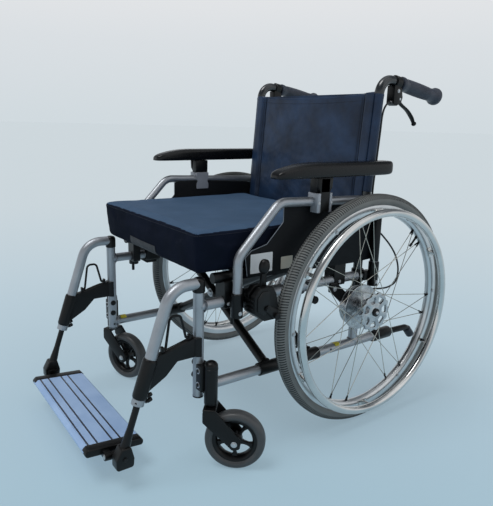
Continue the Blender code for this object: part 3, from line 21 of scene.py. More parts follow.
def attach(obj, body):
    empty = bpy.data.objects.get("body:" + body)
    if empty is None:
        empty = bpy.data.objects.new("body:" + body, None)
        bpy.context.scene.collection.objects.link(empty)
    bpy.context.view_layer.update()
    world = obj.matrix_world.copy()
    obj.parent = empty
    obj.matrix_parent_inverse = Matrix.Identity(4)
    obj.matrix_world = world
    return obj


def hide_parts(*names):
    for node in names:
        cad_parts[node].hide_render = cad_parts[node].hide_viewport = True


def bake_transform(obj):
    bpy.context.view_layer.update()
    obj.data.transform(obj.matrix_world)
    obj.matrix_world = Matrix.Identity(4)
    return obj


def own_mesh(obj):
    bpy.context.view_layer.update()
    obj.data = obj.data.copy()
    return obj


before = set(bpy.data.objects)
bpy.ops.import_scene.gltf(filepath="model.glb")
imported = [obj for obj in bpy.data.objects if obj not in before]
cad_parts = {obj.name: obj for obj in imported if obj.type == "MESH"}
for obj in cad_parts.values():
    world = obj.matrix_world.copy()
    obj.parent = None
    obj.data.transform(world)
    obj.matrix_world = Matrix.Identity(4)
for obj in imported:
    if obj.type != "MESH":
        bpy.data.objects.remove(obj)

LOG = logging.getLogger("wheelchair")

# The rear axle's place behind the origin
AXLE_Y = 0.211
# The UV layer that holds the metres round and along a surface
SEAM = "seam"
MM = 0.001
# Faces that meet at less than this angle in degrees are shaded as one
SMOOTH_BELOW = 35.0
# The angle in degrees from which an outline's corner is an edge and not a part of an arc
CORNERS_ABOVE = 50
# The clearance between neighbours
GAP = 0.0004
X_AXIS, Y_AXIS, Z_AXIS = (1, 0, 0), (0, 1, 0), (0, 0, 1)

# The lines of the frame that several assemblies share
FRAME_X = 0.25
TUBE_R = 0.0125
FRONT_POST_Y = -0.474
FRONT_POST_TOP = 0.411
LOWER_RAIL_Z = 0.182
UPPER_RAIL_Z = 0.378
REAR_POST_Y = 0.03
AXLE_Z = 0.305
SEAT_RAIL_X = 0.24
SEAT_RAIL_Z = 0.433
ARM_X = 0.2775
ARM_TUBE_R = 0.011
BACK_KNEE_Z = 0.44
BACK_LEAN = 0.0751
BOARD_Y = -0.6605
BOARD_Z = 0.069
BOARD_TILT = -5

Mesh = bpy.types.Mesh
Flat = tuple[float, float]


class Side(Enum):
    """The sitter's left, drawn as it is, or right, its mirror image."""

    LEFT = 1
    RIGHT = -1

    def named(self, word: str) -> str:
        """Puts the side in front of a piece's, a node's or a body's name."""
        return f"{self.name.lower()}_{word}"


class Mapped(Enum):
    """What a finish's grain follows: the piece's own axes, or the metres round and along its surface."""

    OBJECT = 0
    SEAM = 1


class Along(Enum):
    """The axis that an outline is drawn out along, with the order of its sizes and that axis."""

    X = (2, 0, 1)
    Y = (0, 2, 1)
    Z = (0, 1, 2)


# Finishes


def linear(code: str) -> tuple[float, float, float, float]:
    """Turns an sRGB hex code such as #A0A1A2 into an opaque linear colour.

    Args:
        code: The hex code, with its hash sign.

    Returns:
        Red, green, blue and an alpha of 1.
    """
    shares = [int(code[i : i + 2], 16) / 255 for i in (1, 3, 5)]
    red, green, blue = (c / 12.92 if c <= 0.04045 else ((c + 0.055) / 1.055) ** 2.4 for c in shares)
    return red, green, blue, 1.0


def add_node(
    tree: bpy.types.NodeTree, kind: str, values: dict | None = None, links: dict | None = None, **settings
) -> bpy.types.Node:
    """Adds one node with its settings, its socket values and the links that feed it.

    Args:
        tree: The tree that takes the node.
        kind: The node's type name.
        values: Socket name or number to value.
        links: Socket name or number to the output socket that feeds it.
        settings: The node's own properties.

    Returns:
        The new node.
    """
    node = tree.nodes.new(kind)
    for key, value in settings.items():
        setattr(node, key, value)
    for key, value in (values or {}).items():
        node.inputs[key].default_value = value
    for key, source in (links or {}).items():
        tree.links.new(source, node.inputs[key])
    return node


def fill_ramp(ramp: bpy.types.ColorRamp, stops: Sequence) -> None:
    """Gives a colour ramp its stops, each a position and a hex code."""
    while len(ramp.elements) < len(stops):
        ramp.elements.new(0.5)
    for element, (position, code) in zip(ramp.elements, stops):
        element.position = position
        element.color = linear(code)


@dataclass(frozen=True)
class Finish:
    """A surface: two tones in soft clouds, and a fine grain that may be drawn out along the piece.

    grain_mm is the real grain, or as coarse as it needs to be for the picture to show it.
    """

    name: str
    colour: str
    shade: str
    roughness: float
    slot: str
    metallic: float = 0.0
    grain_mm: float = 1.5
    stretch: float = 1.0
    bump_mm: float = 0.02
    spread: float = 0.06
    cloud_mm: float = 60.0
    mapped: Mapped = Mapped.OBJECT
    gloss: float = 0.5
    coat: float = 0.0

    def material(self) -> bpy.types.Material:
        """Makes the material, or finds it if an earlier piece has made it.

        Returns:
            The material with its node tree.
        """
        found = bpy.data.materials.get(self.name)
        if found:
            return found
        made = bpy.data.materials.new(self.name)
        made.use_nodes = True
        made.diffuse_color = linear(self.colour)
        tree = made.node_tree
        shader = tree.nodes["Principled BSDF"]
        shader.inputs["Metallic"].default_value = self.metallic
        shader.inputs["Specular IOR Level"].default_value = self.gloss
        shader.inputs["Coat Weight"].default_value = self.coat
        shader.inputs["Coat Roughness"].default_value = 0.15
        place = add_node(tree, "ShaderNodeTexCoord").outputs["Object"]
        height = self.height(tree, place)
        tree.links.new(self.tone(tree, place, height), shader.inputs["Base Color"])
        limits = {"To Min": max(self.roughness - self.spread, 0.02), "To Max": self.roughness + self.spread}
        rough = add_node(
            tree, "ShaderNodeMapRange", limits, {"Value": self.clouds(tree, place, self.cloud_mm / 3)}
        )
        tree.links.new(rough.outputs["Result"], shader.inputs["Roughness"])
        bump = add_node(tree, "ShaderNodeBump", {"Distance": self.bump_mm * MM}, {"Height": height})
        tree.links.new(bump.outputs["Normal"], shader.inputs["Normal"])
        return made

    def clouds(
        self, tree: bpy.types.NodeTree, place: bpy.types.NodeSocket, size_mm: float
    ) -> bpy.types.NodeSocket:
        """Soft patches of a size, from about 0.3 to 0.7."""
        values = {"Scale": 1 / (size_mm * MM), "Detail": 4.0, "Roughness": 0.55}
        return add_node(tree, "ShaderNodeTexNoise", values, {"Vector": place}).outputs["Fac"]

    def height(self, tree: bpy.types.NodeTree, place: bpy.types.NodeSocket) -> bpy.types.NodeSocket:
        """The fine relief of the surface, from 0 to 1.

        Args:
            tree: The material's tree.
            place: The piece's own coordinates.

        Returns:
            The output that holds the relief.
        """
        if self.mapped is Mapped.SEAM:
            place = add_node(tree, "ShaderNodeUVMap", uv_map=SEAM).outputs["UV"]
        fine = 1 / (self.grain_mm * MM)
        spot = add_node(
            tree, "ShaderNodeMapping", {"Scale": (fine, fine / self.stretch, fine)}, {"Vector": place}
        )
        values = {"Scale": 1.0, "Detail": 2.0}
        return add_node(tree, "ShaderNodeTexNoise", values, {"Vector": spot.outputs["Vector"]}).outputs["Fac"]

    def tone(
        self, tree: bpy.types.NodeTree, place: bpy.types.NodeSocket, height: bpy.types.NodeSocket
    ) -> bpy.types.NodeSocket:
        """The colour, in soft clouds of the two tones with a little of the grain in them.

        Args:
            tree: The material's tree.
            place: The piece's own coordinates.
            height: The relief.

        Returns:
            The output that holds the colour.
        """
        grain = add_node(tree, "ShaderNodeMath", {1: 0.35}, {0: height}, operation="MULTIPLY")
        cloud = self.clouds(tree, place, self.cloud_mm)
        share = add_node(tree, "ShaderNodeMath", {}, {0: cloud, 1: grain.outputs[0]}, operation="ADD")
        ramp = add_node(tree, "ShaderNodeValToRGB", {}, {"Fac": share.outputs[0]})
        fill_ramp(ramp.color_ramp, ((0.5, self.colour), (0.86, self.shade)))
        return ramp.outputs["Color"]


@dataclass(frozen=True)
class Woven(Finish):
    """A cloth with threads that cross over and under; grain_mm is the pitch of the threads."""

    def height(self, tree: bpy.types.NodeTree, place: bpy.types.NodeSocket) -> bpy.types.NodeSocket:
        """Threads along three axes, of which a face shows the two that cross it."""
        turns = 2 * math.pi / (self.grain_mm * MM)
        parts = add_node(tree, "ShaderNodeSeparateXYZ", {}, {0: place})
        waves = []
        for axis in range(3):
            turn = add_node(
                tree, "ShaderNodeMath", {1: turns}, {0: parts.outputs[axis]}, operation="MULTIPLY"
            )
            waves.append(
                add_node(tree, "ShaderNodeMath", {}, {0: turn.outputs[0]}, operation="SINE").outputs[0]
            )
        flat = add_node(
            tree, "ShaderNodeMath", {}, {0: waves[0], 1: waves[1]}, operation="MULTIPLY"
        ).outputs[0]
        both = add_node(tree, "ShaderNodeMath", {}, {0: flat, 1: waves[2]}, operation="ADD")
        return add_node(
            tree, "ShaderNodeMath", {1: 0.25, 2: 0.5}, {0: both.outputs[0]}, operation="MULTIPLY_ADD"
        ).outputs[0]


# Aluminium tube, bead-blasted and anodised: lengthwise die lines blur its highlights into long soft streaks
SATIN_TUBE = Finish(
    "satin_anodised_aluminium_tube", "#ADB1B6", "#9DA1A7", 0.43, "satin_silver_tube", 0.85, 0.5, 60, 0.006,
    mapped=Mapped.SEAM,
)
# Polished and clear-anodised rim and push ring: near-mirror bands that follow the hoop
BRIGHT = Finish(
    "polished_anodised_aluminium", "#D8D8D6", "#C9CAC9", 0.15, "polished_aluminium", 1.0, 0.4, 80, 0.003,
    0.04,
    mapped=Mapped.SEAM,
)
# Rim extrusion, brushed round the hoop before anodising: a softer band than the push ring
BRUSHED_RIM = Finish(
    "brushed_anodised_rim", "#DADCDD", "#C9CCCE", 0.3, "polished_aluminium", 1.0, 0.4, 80, 0.005, 0.04,
    mapped=Mapped.SEAM,
)
# Die-cast hub shell, vibratory polished: soft orange-peel that breaks up its reflections
CAST = Finish(
    "die_cast_aluminium", "#C8CACB", "#A2A5A9", 0.22, "polished_aluminium", 1.0, 2.5, 1, 0.05, 0.08, 18
)
# Die-cast bracket in silver paint: flat light grey that mirrors little
BRACKET = Finish(
    "silver_painted_casting", "#A4A9B1", "#989DA6", 0.45, "satin_silver_tube", 0.3, 1.0, 1, 0.02, 0.06, 30
)
# Zinc plate on small steel parts: bluish, slightly cloudy
ZINC = Finish(
    "zinc_plated_steel", "#9CA0A5", "#83878D", 0.32, "zinc_plated_steel", 1.0, 1.2, 1, 0.01, 0.08, 12
)
# Stainless spoke wire, drawn: fine bright line with a dark underside
WIRE = Finish("drawn_stainless_wire", "#C4C0B6", "#B2AEA5", 0.22, "polished_aluminium", 1.0, 0.4, 60, 0.003)
# Back posts in dark grey gloss paint over the tube
DARK_TUBE = Finish(
    "dark_grey_gloss_paint_on_tube", "#1D2227", "#171B1F", 0.24, "dark_grey_tube", 0.0, 2.0, 1, 0.02, 0.05,
    50,
    coat=0.5,
)
# Cross braces and clamps in fine-textured black powder coat
POWDER = Finish(
    "black_powder_coat", "#0B0C0D", "#08090A", 0.38, "black_coated_tube", 0.0, 0.8, 1, 0.03, 0.06, 40,
    gloss=0.35,
)
# Footplate extrusion, anodised aluminium: an even satin that mirrors little; its blue tint is a painted
# reflection of the sky over its own grey
BOARD = Finish(
    "blue_grey_anodised_extrusion", "#9FBCE2", "#91AFD8", 0.4, "blue_grey_anodised", 0.12, 0.6, 1, 0.006
)
# Injection-moulded glass-filled nylon with an even spark-eroded grain
MOULDED = Finish(
    "black_glass_filled_nylon", "#0A0B0C", "#070708", 0.36, "black_moulded_plastic", 0.0, 0.7, 1, 0.04,
    gloss=0.3,
)
# Arm pads: self-skinned polyurethane foam, smooth and softly glossy
SKIN_FOAM = Finish(
    "black_self_skinned_foam", "#0A0B0E", "#07080A", 0.27, "black_moulded_plastic", 0.0, 1.6, 1, 0.03,
    gloss=0.3, coat=0.04,
)
# Push grips: matt rubber, coloured a light blue-grey
GRIP = Finish("black_grip_rubber", "#343A48", "#282E3A", 0.42, "black_rubber", 0.0, 0.8, 1, 0.05)
# Non-marking grey tyre rubber: matt and a little uneven, so its side wall takes no sharp light
TYRE = Finish(
    "grey_non_marking_tyre_rubber", "#787B7A", "#686B6B", 0.62, "grey_tyre_rubber", 0.0, 1.5, 1, 0.05
)
# The ribs of the tread's shoulders, coloured darker and duller than the side wall
TREAD = Finish(
    "worn_grey_tread_rubber", "#303233", "#262829", 0.74, "grey_tyre_rubber", 0.0, 1.0, 1, 0.05, gloss=0.25
)
# Cast polyurethane, smooth and a little waxy
CASTER_TYRE = Finish(
    "grey_polyurethane_caster_tyre", "#46484A", "#3C3E40", 0.44, "grey_tyre_rubber", 0.0, 2.0, 1, 0.02
)
# Brake cable's extruded PVC cover: smooth, with a thin bright line along it
CABLE = Finish("black_pvc_cable_cover", "#0E0F11", "#090A0B", 0.34, "black_cable_cover", 0.0, 1.0, 1, 0.01)
# Woven nylon of cushion and sling, drawn coarser than its 0.4 mm threads so that the picture can hold it
CUSHION = Woven(
    "navy_woven_nylon", "#415873", "#3A5069", 0.74, "black_nylon", 0.0, 1.6, 1, 0.1, 0.06, 90, gloss=0.1
)
# The cushion's border: the top's navy nylon painted darker as shade on the sides, drawn with a closer knit
BORDER_PAINTED_SHADE = Woven(
    "dark_navy_knit_border", "#131928", "#0E1420", 0.8, "black_nylon", 0.0, 1.3, 1, 0.1, 0.05, 70, gloss=0.05
)
# Woven nylon webbing of the sling, also the black cords that paint the shade along the back's seams: flat
# near-black with a coarse weave
WEBBING_AND_SEAM_SHADE = Woven(
    "black_woven_nylon", "#0F1319", "#0B0E13", 0.75, "black_nylon", 0.0, 1.6, 1, 0.1, 0.05, 60, gloss=0.1
)
# Coated nylon of the back: dark navy with a soft waxy sheen over its creases
COATED = Finish(
    "navy_coated_nylon", "#243A58", "#111F33", 0.42, "black_nylon", 0.0, 1.1, 1, 0.05, 0.1, 85, gloss=0.32,
)
# Side panels: thin moulded sheet faced with black cloth
PANEL = Woven(
    "black_faced_panel_cloth", "#0E1217", "#0A0D11", 0.58, "black_nylon", 0.0, 1.2, 1, 0.06, 0.06, 80,
    gloss=0.2,
)
# Open weave of spacer mesh over the dark cover
MESH_TAG = Woven("grey_spacer_mesh", "#3B3E43", "#2A2C30", 0.7, "black_nylon", 0.0, 3.2, 1, 0.5, 0.05, 20)
# Spun polyester sewing thread, dull and near the cloth's darker tone
THREAD = Finish("dark_polyester_thread", "#161F2C", "#111925", 0.7, "black_nylon", 0.0, 0.3, 1, 0.02)
# Extruded vinyl piping: a thin pale line along the panel's edge
PIPING = Finish("pale_grey_piping", "#7A828C", "#6C747E", 0.55, "black_nylon", 0.0, 0.6, 1, 0.03)
# Bare film labels and a bare tag: flat, pale, with no print
LABEL_WHITE = Finish("bare_white_label", "#DDE0E3", "#D2D6DA", 0.5, "black_nylon", 0.0, 0.8, 1, 0.01)
LABEL_BEIGE = Finish("bare_beige_label", "#C4BFB2", "#B6B1A4", 0.55, "black_nylon", 0.0, 0.8, 1, 0.01)
TAG_YELLOW = Finish("bare_yellow_tag", "#C9BE3C", "#B8AC30", 0.45, "satin_silver_tube", 0.0, 0.8, 1, 0.01)
# A dark disc that paints the shade inside a drilled hole
HOLE_SHADE = Finish("shaded_hole", "#08090A", "#050606", 0.8, "satin_silver_tube", 0.0, 1.0, 1, 0.0)


# Shapes


def meshed(bm: bmesh.types.BMesh) -> Mesh:
    """Turns a bmesh into a mesh whose faces point outwards."""
    bmesh.ops.recalc_face_normals(bm, faces=bm.faces)
    if bm.calc_volume(signed=True) < 0:
        bmesh.ops.reverse_faces(bm, faces=bm.faces)
    mesh = bpy.data.meshes.new("shape")
    bm.to_mesh(mesh)
    bm.free()
    return mesh


def skin(rings: Sequence[Sequence[Vector]], closed: bool = False) -> Mesh:
    """A solid through rings of equal numbers of points, with metres round and along it as its UVs.

    Args:
        rings: The rings, each a list of points.
        closed: Whether the last ring joins the first; otherwise both end in a face.

    Returns:
        The closed mesh.
    """
    bm = bmesh.new()
    uv = bm.loops.layers.uv.new(SEAM)
    loops = [[bm.verts.new(point) for point in ring] for ring in rings]
    along = [0.0]
    for near, far in zip(rings, rings[1:] + [rings[0]] if closed else rings[1:]):
        along.append(along[-1] + (Vector(far[0]) - Vector(near[0])).length)
    widest = max(rings, key=lambda ring: (Vector(ring[1]) - Vector(ring[0])).length)
    round_it = [0.0]
    for a, b in zip(widest, list(widest[1:]) + [widest[0]]):
        round_it.append(round_it[-1] + (Vector(b) - Vector(a)).length)
    pairs = list(zip(loops, loops[1:]))
    if closed:
        pairs.append((loops[-1], loops[0]))
    else:
        bm.faces.new(loops[0])
        bm.faces.new(loops[-1])
    for k, (near, far) in enumerate(pairs):
        for i in range(len(near)):
            j = (i + 1) % len(near)
            face = bm.faces.new((near[i], near[j], far[j], far[i]))
            spots = ((i, k), (i + 1, k), (i + 1, k + 1), (i, k + 1))
            for loop, (u, v) in zip(face.loops, spots):
                loop[uv].uv = (round_it[u], along[v])
    return meshed(bm)


def across(direction: Vector) -> tuple[Vector, Vector]:
    """Two unit vectors at right angles to a direction, the first as near to X as it can be."""
    direction = direction.normalized()
    guide = Vector(X_AXIS) if abs(direction.x) < 0.9 else Vector(Y_AXIS)
    first = (guide - guide.dot(direction) * direction).normalized()
    return first, direction.cross(first)


def circle(
    centre: Vector, radius: float, first: Vector, second: Vector, sides: int, squash: float = 1.0
) -> list:
    """The points of a circle, or of an ellipse where squash isn't 1."""
    turns = [2 * math.pi * (i + 0.5) / sides for i in range(sides)]
    return [centre + radius * (math.cos(t) * first + squash * math.sin(t) * second) for t in turns]


def tube(path: Sequence, radius: float | Sequence[float], sides: int = 24, squash: float = 1.0) -> Mesh:
    """A round or oval bar along a path.

    Args:
        path: The points of its centre line.
        radius: One radius, or one for each point.
        sides: The points round it.
        squash: The share of the radius that its second direction has.

    Returns:
        The bar as a closed mesh.
    """
    path = [Vector(point) for point in path]
    radii = [radius] * len(path) if isinstance(radius, float) else radius
    rings = []
    first = None
    for i, point in enumerate(path):
        direction = (path[min(i + 1, len(path) - 1)] - path[max(i - 1, 0)]).normalized()
        if first is None:
            first, second = across(direction)
        else:
            first = (first - first.dot(direction) * direction).normalized()
            second = direction.cross(first)
        rings.append(circle(point, radii[i], first, second, sides, squash))
    return skin(rings)


def turned(origin: Sequence, axis: Sequence, stations: Sequence[Flat], sides: int = 32) -> Mesh:
    """A solid of revolution from (distance along the axis, radius) stations."""
    axis = Vector(axis).normalized()
    first, second = across(axis)
    return skin([circle(Vector(origin) + a * axis, r, first, second, sides) for a, r in stations])


def ring(origin: Sequence, axis: Sequence, profile: Sequence[Flat], sides: int = 96) -> Mesh:
    """A closed profile of (distance along the axis, radius) points turned right round."""
    axis = Vector(axis).normalized()
    first, second = across(axis)
    rings = []
    for i in range(sides):
        t = 2 * math.pi * i / sides
        out = math.cos(t) * first + math.sin(t) * second
        rings.append([Vector(origin) + a * axis + r * out for a, r in profile])
    return skin(rings, closed=True)


def plate(outline: Sequence[Flat], low: float, high: float, along: Along = Along.X) -> Mesh:
    """An outline in (y, z), (x, z) or (x, y) drawn out from low to high along X, Y or Z."""
    return skin([[Vector([(u, v, w)[k] for k in along.value]) for u, v in outline] for w in (low, high)])


def rectangle(u: Flat, v: Flat) -> list[Flat]:
    """The corners between two pairs of limits."""
    return [(u[0], v[0]), (u[1], v[0]), (u[1], v[1]), (u[0], v[1])]


def cylinder(length: float, radius: float, run: float = 0.001, drop: float = 0.001) -> list[Flat]:
    """The stations of a cylinder whose ends drop to a smaller radius over a short run."""
    return [(0, radius - drop), (run, radius), (length - run, radius), (length, radius - drop)]


def eased(mesh: Mesh, width: float, steps: int = 2, above: float = 30.0) -> Mesh:
    """Rounds the edges where faces meet at more than an angle.

    Args:
        mesh: The mesh, which is changed.
        width: The width of the rounding.
        steps: The faces across it.
        above: The angle in degrees.

    Returns:
        The same mesh.
    """
    bm = bmesh.new()
    bm.from_mesh(mesh)
    sharp = [e for e in bm.edges if len(e.link_faces) == 2 and e.calc_face_angle(0) > math.radians(above)]
    bmesh.ops.bevel(
        bm, geom=sharp, offset=width, segments=steps, affect="EDGES", profile=0.5, clamp_overlap=True
    )
    bm.to_mesh(mesh)
    bm.free()
    return mesh


def block(x: Flat, y: Flat, z: Flat, bevel: float = 0.001, steps: int = 2) -> Mesh:
    """A box between pairs of limits, with its edges rounded."""
    return eased(plate(rectangle(x, y), *z, Along.Z), bevel, steps)


def rounded(corners: Sequence, radius: float | Sequence[float], steps: int = 10) -> list[Vector]:
    """The path through corner points with an arc of the given radius at each inner corner.

    Args:
        corners: The corner points.
        radius: One radius, or one for each inner corner.
        steps: The points of each arc.

    Returns:
        The points of the path.
    """
    corners = [Vector(point) for point in corners]
    radii = [radius] * (len(corners) - 2) if isinstance(radius, float) else radius
    path = [corners[0]]
    for before, corner, after, r in zip(corners, corners[1:], corners[2:], radii):
        a = (before - corner).normalized()
        b = (after - corner).normalized()
        half = a.angle(b) / 2
        reach = r / math.tan(half)
        centre = corner + (a + b).normalized() * (r / math.sin(half))
        start = corner + a * reach - centre
        end = corner + b * reach - centre
        sweep = start.angle(end)
        for i in range(steps + 1):
            share = i / steps
            point = (math.sin((1 - share) * sweep) * start + math.sin(share * sweep) * end) / math.sin(sweep)
            path.append(centre + point)
    path.append(corners[-1])
    return path


def rounded_outline(corners: Sequence[Flat], radius: float, steps: int = 4) -> list[Flat]:
    """A closed outline with an arc at every corner."""
    flat = [Vector((u, v, 0)) for u, v in corners]
    points = []
    for i, corner in enumerate(flat):
        arc = rounded([flat[i - 1], corner, flat[(i + 1) % len(flat)]], radius, steps)[1:-1]
        points.extend((p.x, p.y) for p in arc)
    return points


def slab(
    outline: Sequence[Flat], corner: float, low: float, high: float, width: float, along: Along = Along.X,
    steps: int = 2,
) -> Mesh:
    """A plate with arcs at its outline's corners and with rounded edges.

    Args:
        outline: The corners.
        corner: The radius of the arcs.
        low: Where it starts.
        high: Where it ends.
        width: The width of the rounding.
        along: The axis that it is drawn out along.
        steps: The faces across the rounding.

    Returns:
        The mesh.
    """
    return eased(plate(rounded_outline(outline, corner), low, high, along), width, steps, CORNERS_ABOVE)


def evaluated(piece: bpy.types.Object) -> Mesh:
    """The mesh that an object's modifiers make."""
    return bpy.data.meshes.new_from_object(piece.evaluated_get(bpy.context.evaluated_depsgraph_get()))


def fuse(solids: Sequence[Mesh], cuts: Sequence[Mesh] = ()) -> Mesh:
    """One solid from overlapping ones, less the cuts.

    Args:
        solids: The meshes that are joined.
        cuts: The meshes that are taken away.

    Returns:
        The new mesh.
    """
    helpers = [bpy.data.objects.new("helper", mesh) for mesh in (*solids, *cuts)]
    for helper in helpers:
        bpy.context.scene.collection.objects.link(helper)
    for i, helper in enumerate(helpers[1:], 1):
        step = helpers[0].modifiers.new("step", "BOOLEAN")
        step.operation = "UNION" if i < len(solids) else "DIFFERENCE"
        step.solver = "EXACT"
        step.object = helper
    bpy.context.view_layer.update()
    made = evaluated(helpers[0])
    for helper in helpers:
        bpy.data.objects.remove(helper)
    return made


def joined(meshes: Sequence[Mesh]) -> Mesh:
    """Several meshes side by side in one."""
    bm = bmesh.new()
    for mesh in meshes:
        bm.from_mesh(mesh)
    made = bpy.data.meshes.new("joined")
    bm.to_mesh(made)
    bm.free()
    return made


def moved(mesh: Mesh, matrix: Matrix) -> Mesh:
    """A copy of a mesh after a change of place, turned inside in where the change mirrors it."""
    made = mesh.copy()
    made.transform(matrix)
    if matrix.determinant() < 0:
        made.flip_normals()
    return made


def hex_bolt(at: Sequence, axis: Sequence, size: float, height: float) -> list[Mesh]:
    """A hexagon head with a turned top on a washer."""
    axis = Vector(axis).normalized()
    head = turned(at, axis, [(0, size), (height * 0.8, size), (height, size * 0.85)], 6)
    washer = turned(at, axis, [(-0.0002, size * 1.35), (0.001, size * 1.35)], 24)
    return [head, washer]


# Pieces


def place(
    name: str, meshes: Sequence[Mesh], finish: Finish, body: str | None, nodes: Sequence[str] = (),
    mirror: bool = False, round_below: float = SMOOTH_BELOW, turn: Matrix | None = None,
) -> bpy.types.Object:
    """Makes one finished piece of several meshes and puts it in the chair.

    Args:
        name: The piece's name.
        meshes: Its parts.
        finish: Its surface.
        body: The body that it rides on, or None for a piece that is left on no body.
        nodes: The frame's nodes that it stands for.
        mirror: Whether it is the right-hand image of what is drawn.
        round_below: Faces that meet at less than this angle are smooth.
        turn: A turn of the drawn meshes before all else.

    Returns:
        The piece.
    """
    mesh = joined(meshes)
    mesh.transform(turn or Matrix.Identity(4))
    if mirror:
        mesh.transform(Matrix.Diagonal((-1, 1, 1, 1)))
        mesh.flip_normals()
    mesh.transform(Matrix.Translation((0, AXLE_Y, 0)))
    mesh.name = name
    mesh.materials.clear()
    mesh.materials.append(finish.material())
    mesh.shade_smooth()
    mesh.set_sharp_from_angle(angle=math.radians(round_below))
    piece = bpy.data.objects.new(name, mesh)
    bpy.context.scene.collection.objects.link(piece)
    if body:
        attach(piece, body)
    if nodes:
        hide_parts(*nodes)
    LOG.info("%s: %d faces on %s", name, len(mesh.polygons), body)
    return piece


def place_pair(
    name: str, meshes: Sequence[Mesh], finish: Finish, body: str, nodes: Sequence[str] = (),
    turns: dict[Side, Matrix] | None = None, round_below: float = SMOOTH_BELOW,
) -> list[bpy.types.Object]:
    """Places the left piece and its mirror image; names, bodies and nodes get their side in front."""
    placed = []
    for side in Side:
        named_nodes = [side.named(node) for node in nodes]
        turn = turns[side] if turns else None
        placed.append(
            place(
                side.named(name), meshes, finish, side.named(body), named_nodes, side is Side.RIGHT,
                round_below, turn
            )
        )
    return placed


class Pattern:
    """A node tree that repeats or sweeps a shape; bake() runs it once and keeps the mesh."""

    def __init__(self, name: str, inputs: dict[str, str]) -> None:
        """Starts the tree with its named inputs.

        Args:
            name: The tree's name.
            inputs: Input name to socket type.
        """
        self.tree = bpy.data.node_groups.new(name, "GeometryNodeTree")
        self.tree.interface.new_socket("Geometry", in_out="OUTPUT", socket_type="NodeSocketGeometry")
        for label, kind in inputs.items():
            self.tree.interface.new_socket(label, in_out="INPUT", socket_type=kind)
        self.given = add_node(self.tree, "NodeGroupInput").outputs

    def add(
        self, kind: str, values: dict | None = None, links: dict | None = None, **settings
    ) -> bpy.types.Node:
        """Adds a node to the tree."""
        return add_node(self.tree, kind, values, links, **settings)

    def end(self, geometry: bpy.types.NodeSocket) -> None:
        """Makes the result real, gives it the material and ends the tree."""
        real = self.add("GeometryNodeRealizeInstances", {}, {0: geometry})
        dressed = self.add(
            "GeometryNodeSetMaterial", {}, {0: real.outputs[0], "Material": self.given["Material"]}
        )
        self.add("NodeGroupOutput", {}, {0: dressed.outputs[0]})

    def bake(self, **inputs) -> Mesh:
        """Runs the tree with its inputs set.

        Args:
            inputs: Input name, with _ for a space, to value; meshes are put in objects for the while.

        Returns:
            The mesh that the tree makes.
        """
        helpers = [bpy.data.objects.new("holder", bpy.data.meshes.new("holder"))]
        modifier = helpers[0].modifiers.new("pattern", "NODES")
        modifier.node_group = self.tree
        by_name = {s.name: s.identifier for s in self.tree.interface.items_tree if s.in_out == "INPUT"}
        for label, value in inputs.items():
            if isinstance(value, Mesh):
                value = bpy.data.objects.new("shape", value)
                helpers.append(value)
            modifier[by_name[label.replace("_", " ")]] = value
        for helper in helpers:
            bpy.context.scene.collection.objects.link(helper)
        bpy.context.view_layer.update()
        made = evaluated(helpers[0])
        for helper in helpers:
            bpy.data.objects.remove(helper)
        return made


def repeat_round_x() -> Pattern:
    """Repeats a shape round the X axis through a centre, at even turns."""
    made = Pattern(
        "repeat_round_x",
        {
            "Shape": "NodeSocketObject", "Number": "NodeSocketInt", "First turn": "NodeSocketFloat",
            "Centre": "NodeSocketVector", "Material": "NodeSocketMaterial",
        },
    )
    points = made.add(
        "GeometryNodePoints", {}, {"Count": made.given["Number"], "Position": made.given["Centre"]}
    )
    index = made.add("GeometryNodeInputIndex").outputs[0]
    step = made.add("ShaderNodeMath", {0: 2 * math.pi}, {1: made.given["Number"]}, operation="DIVIDE")
    turn = made.add(
        "ShaderNodeMath", {}, {0: index, 1: step.outputs[0], 2: made.given["First turn"]},
        operation="MULTIPLY_ADD"
    )
    euler = made.add("ShaderNodeCombineXYZ", {}, {0: turn.outputs[0]})
    rotation = made.add("FunctionNodeEulerToRotation", {}, {0: euler.outputs[0]})
    shape = made.add("GeometryNodeObjectInfo", {}, {"Object": made.given["Shape"]})
    spread = made.add(
        "GeometryNodeInstanceOnPoints",
        {},
        {"Points": points.outputs[0], "Instance": shape.outputs["Geometry"], "Rotation": rotation.outputs[0]},
    )
    made.end(spread.outputs[0])
    return made


def row_along_path() -> Pattern:
    """Lays a shape, drawn along Z, in a row along a path at even spaces."""
    made = Pattern(
        "row_along_path",
        {
            "Path": "NodeSocketObject", "Shape": "NodeSocketObject", "Space": "NodeSocketFloat",
            "Material": "NodeSocketMaterial",
        },
    )
    line = made.add("GeometryNodeObjectInfo", {}, {"Object": made.given["Path"]})
    curve = made.add("GeometryNodeMeshToCurve", {}, {0: line.outputs["Geometry"]})
    points = made.add(
        "GeometryNodeCurveToPoints", {}, {"Curve": curve.outputs[0], "Length": made.given["Space"]},
        mode="LENGTH"
    )
    shape = made.add("GeometryNodeObjectInfo", {}, {"Object": made.given["Shape"]})
    spread = made.add(
        "GeometryNodeInstanceOnPoints",
        {},
        {
            "Points": points.outputs["Points"],
            "Instance": shape.outputs["Geometry"],
            "Rotation": points.outputs["Rotation"],
        },
    )
    made.end(spread.outputs[0])
    return made


def repeated(
    repeat: Pattern, shape: Mesh, number: int, centre: Sequence, finish: Finish, first: float = 0.0
) -> Mesh:
    """Runs the tree that repeats a shape round an axle.

    Args:
        repeat: The tree.
        shape: What is repeated, drawn round x 0.
        number: How often.
        centre: The middle of the wheel.
        finish: The surface.
        first: The first turn, in radians.

    Returns:
        The mesh.
    """
    material = finish.material()
    return repeat.bake(Shape=shape, Number=number, First_turn=first, Centre=centre, Material=material)


def stitched(rows: Pattern, path: Sequence[Vector], space: float) -> Mesh:
    """A row of stitches in dark thread along a path."""
    stitch = turned((0, 0, -0.0016), Z_AXIS, cylinder(0.0032, 0.0006, 0.0006, 0.0003), 6)
    return rows.bake(Path=line_mesh(path), Shape=stitch, Space=space, Material=THREAD.material())


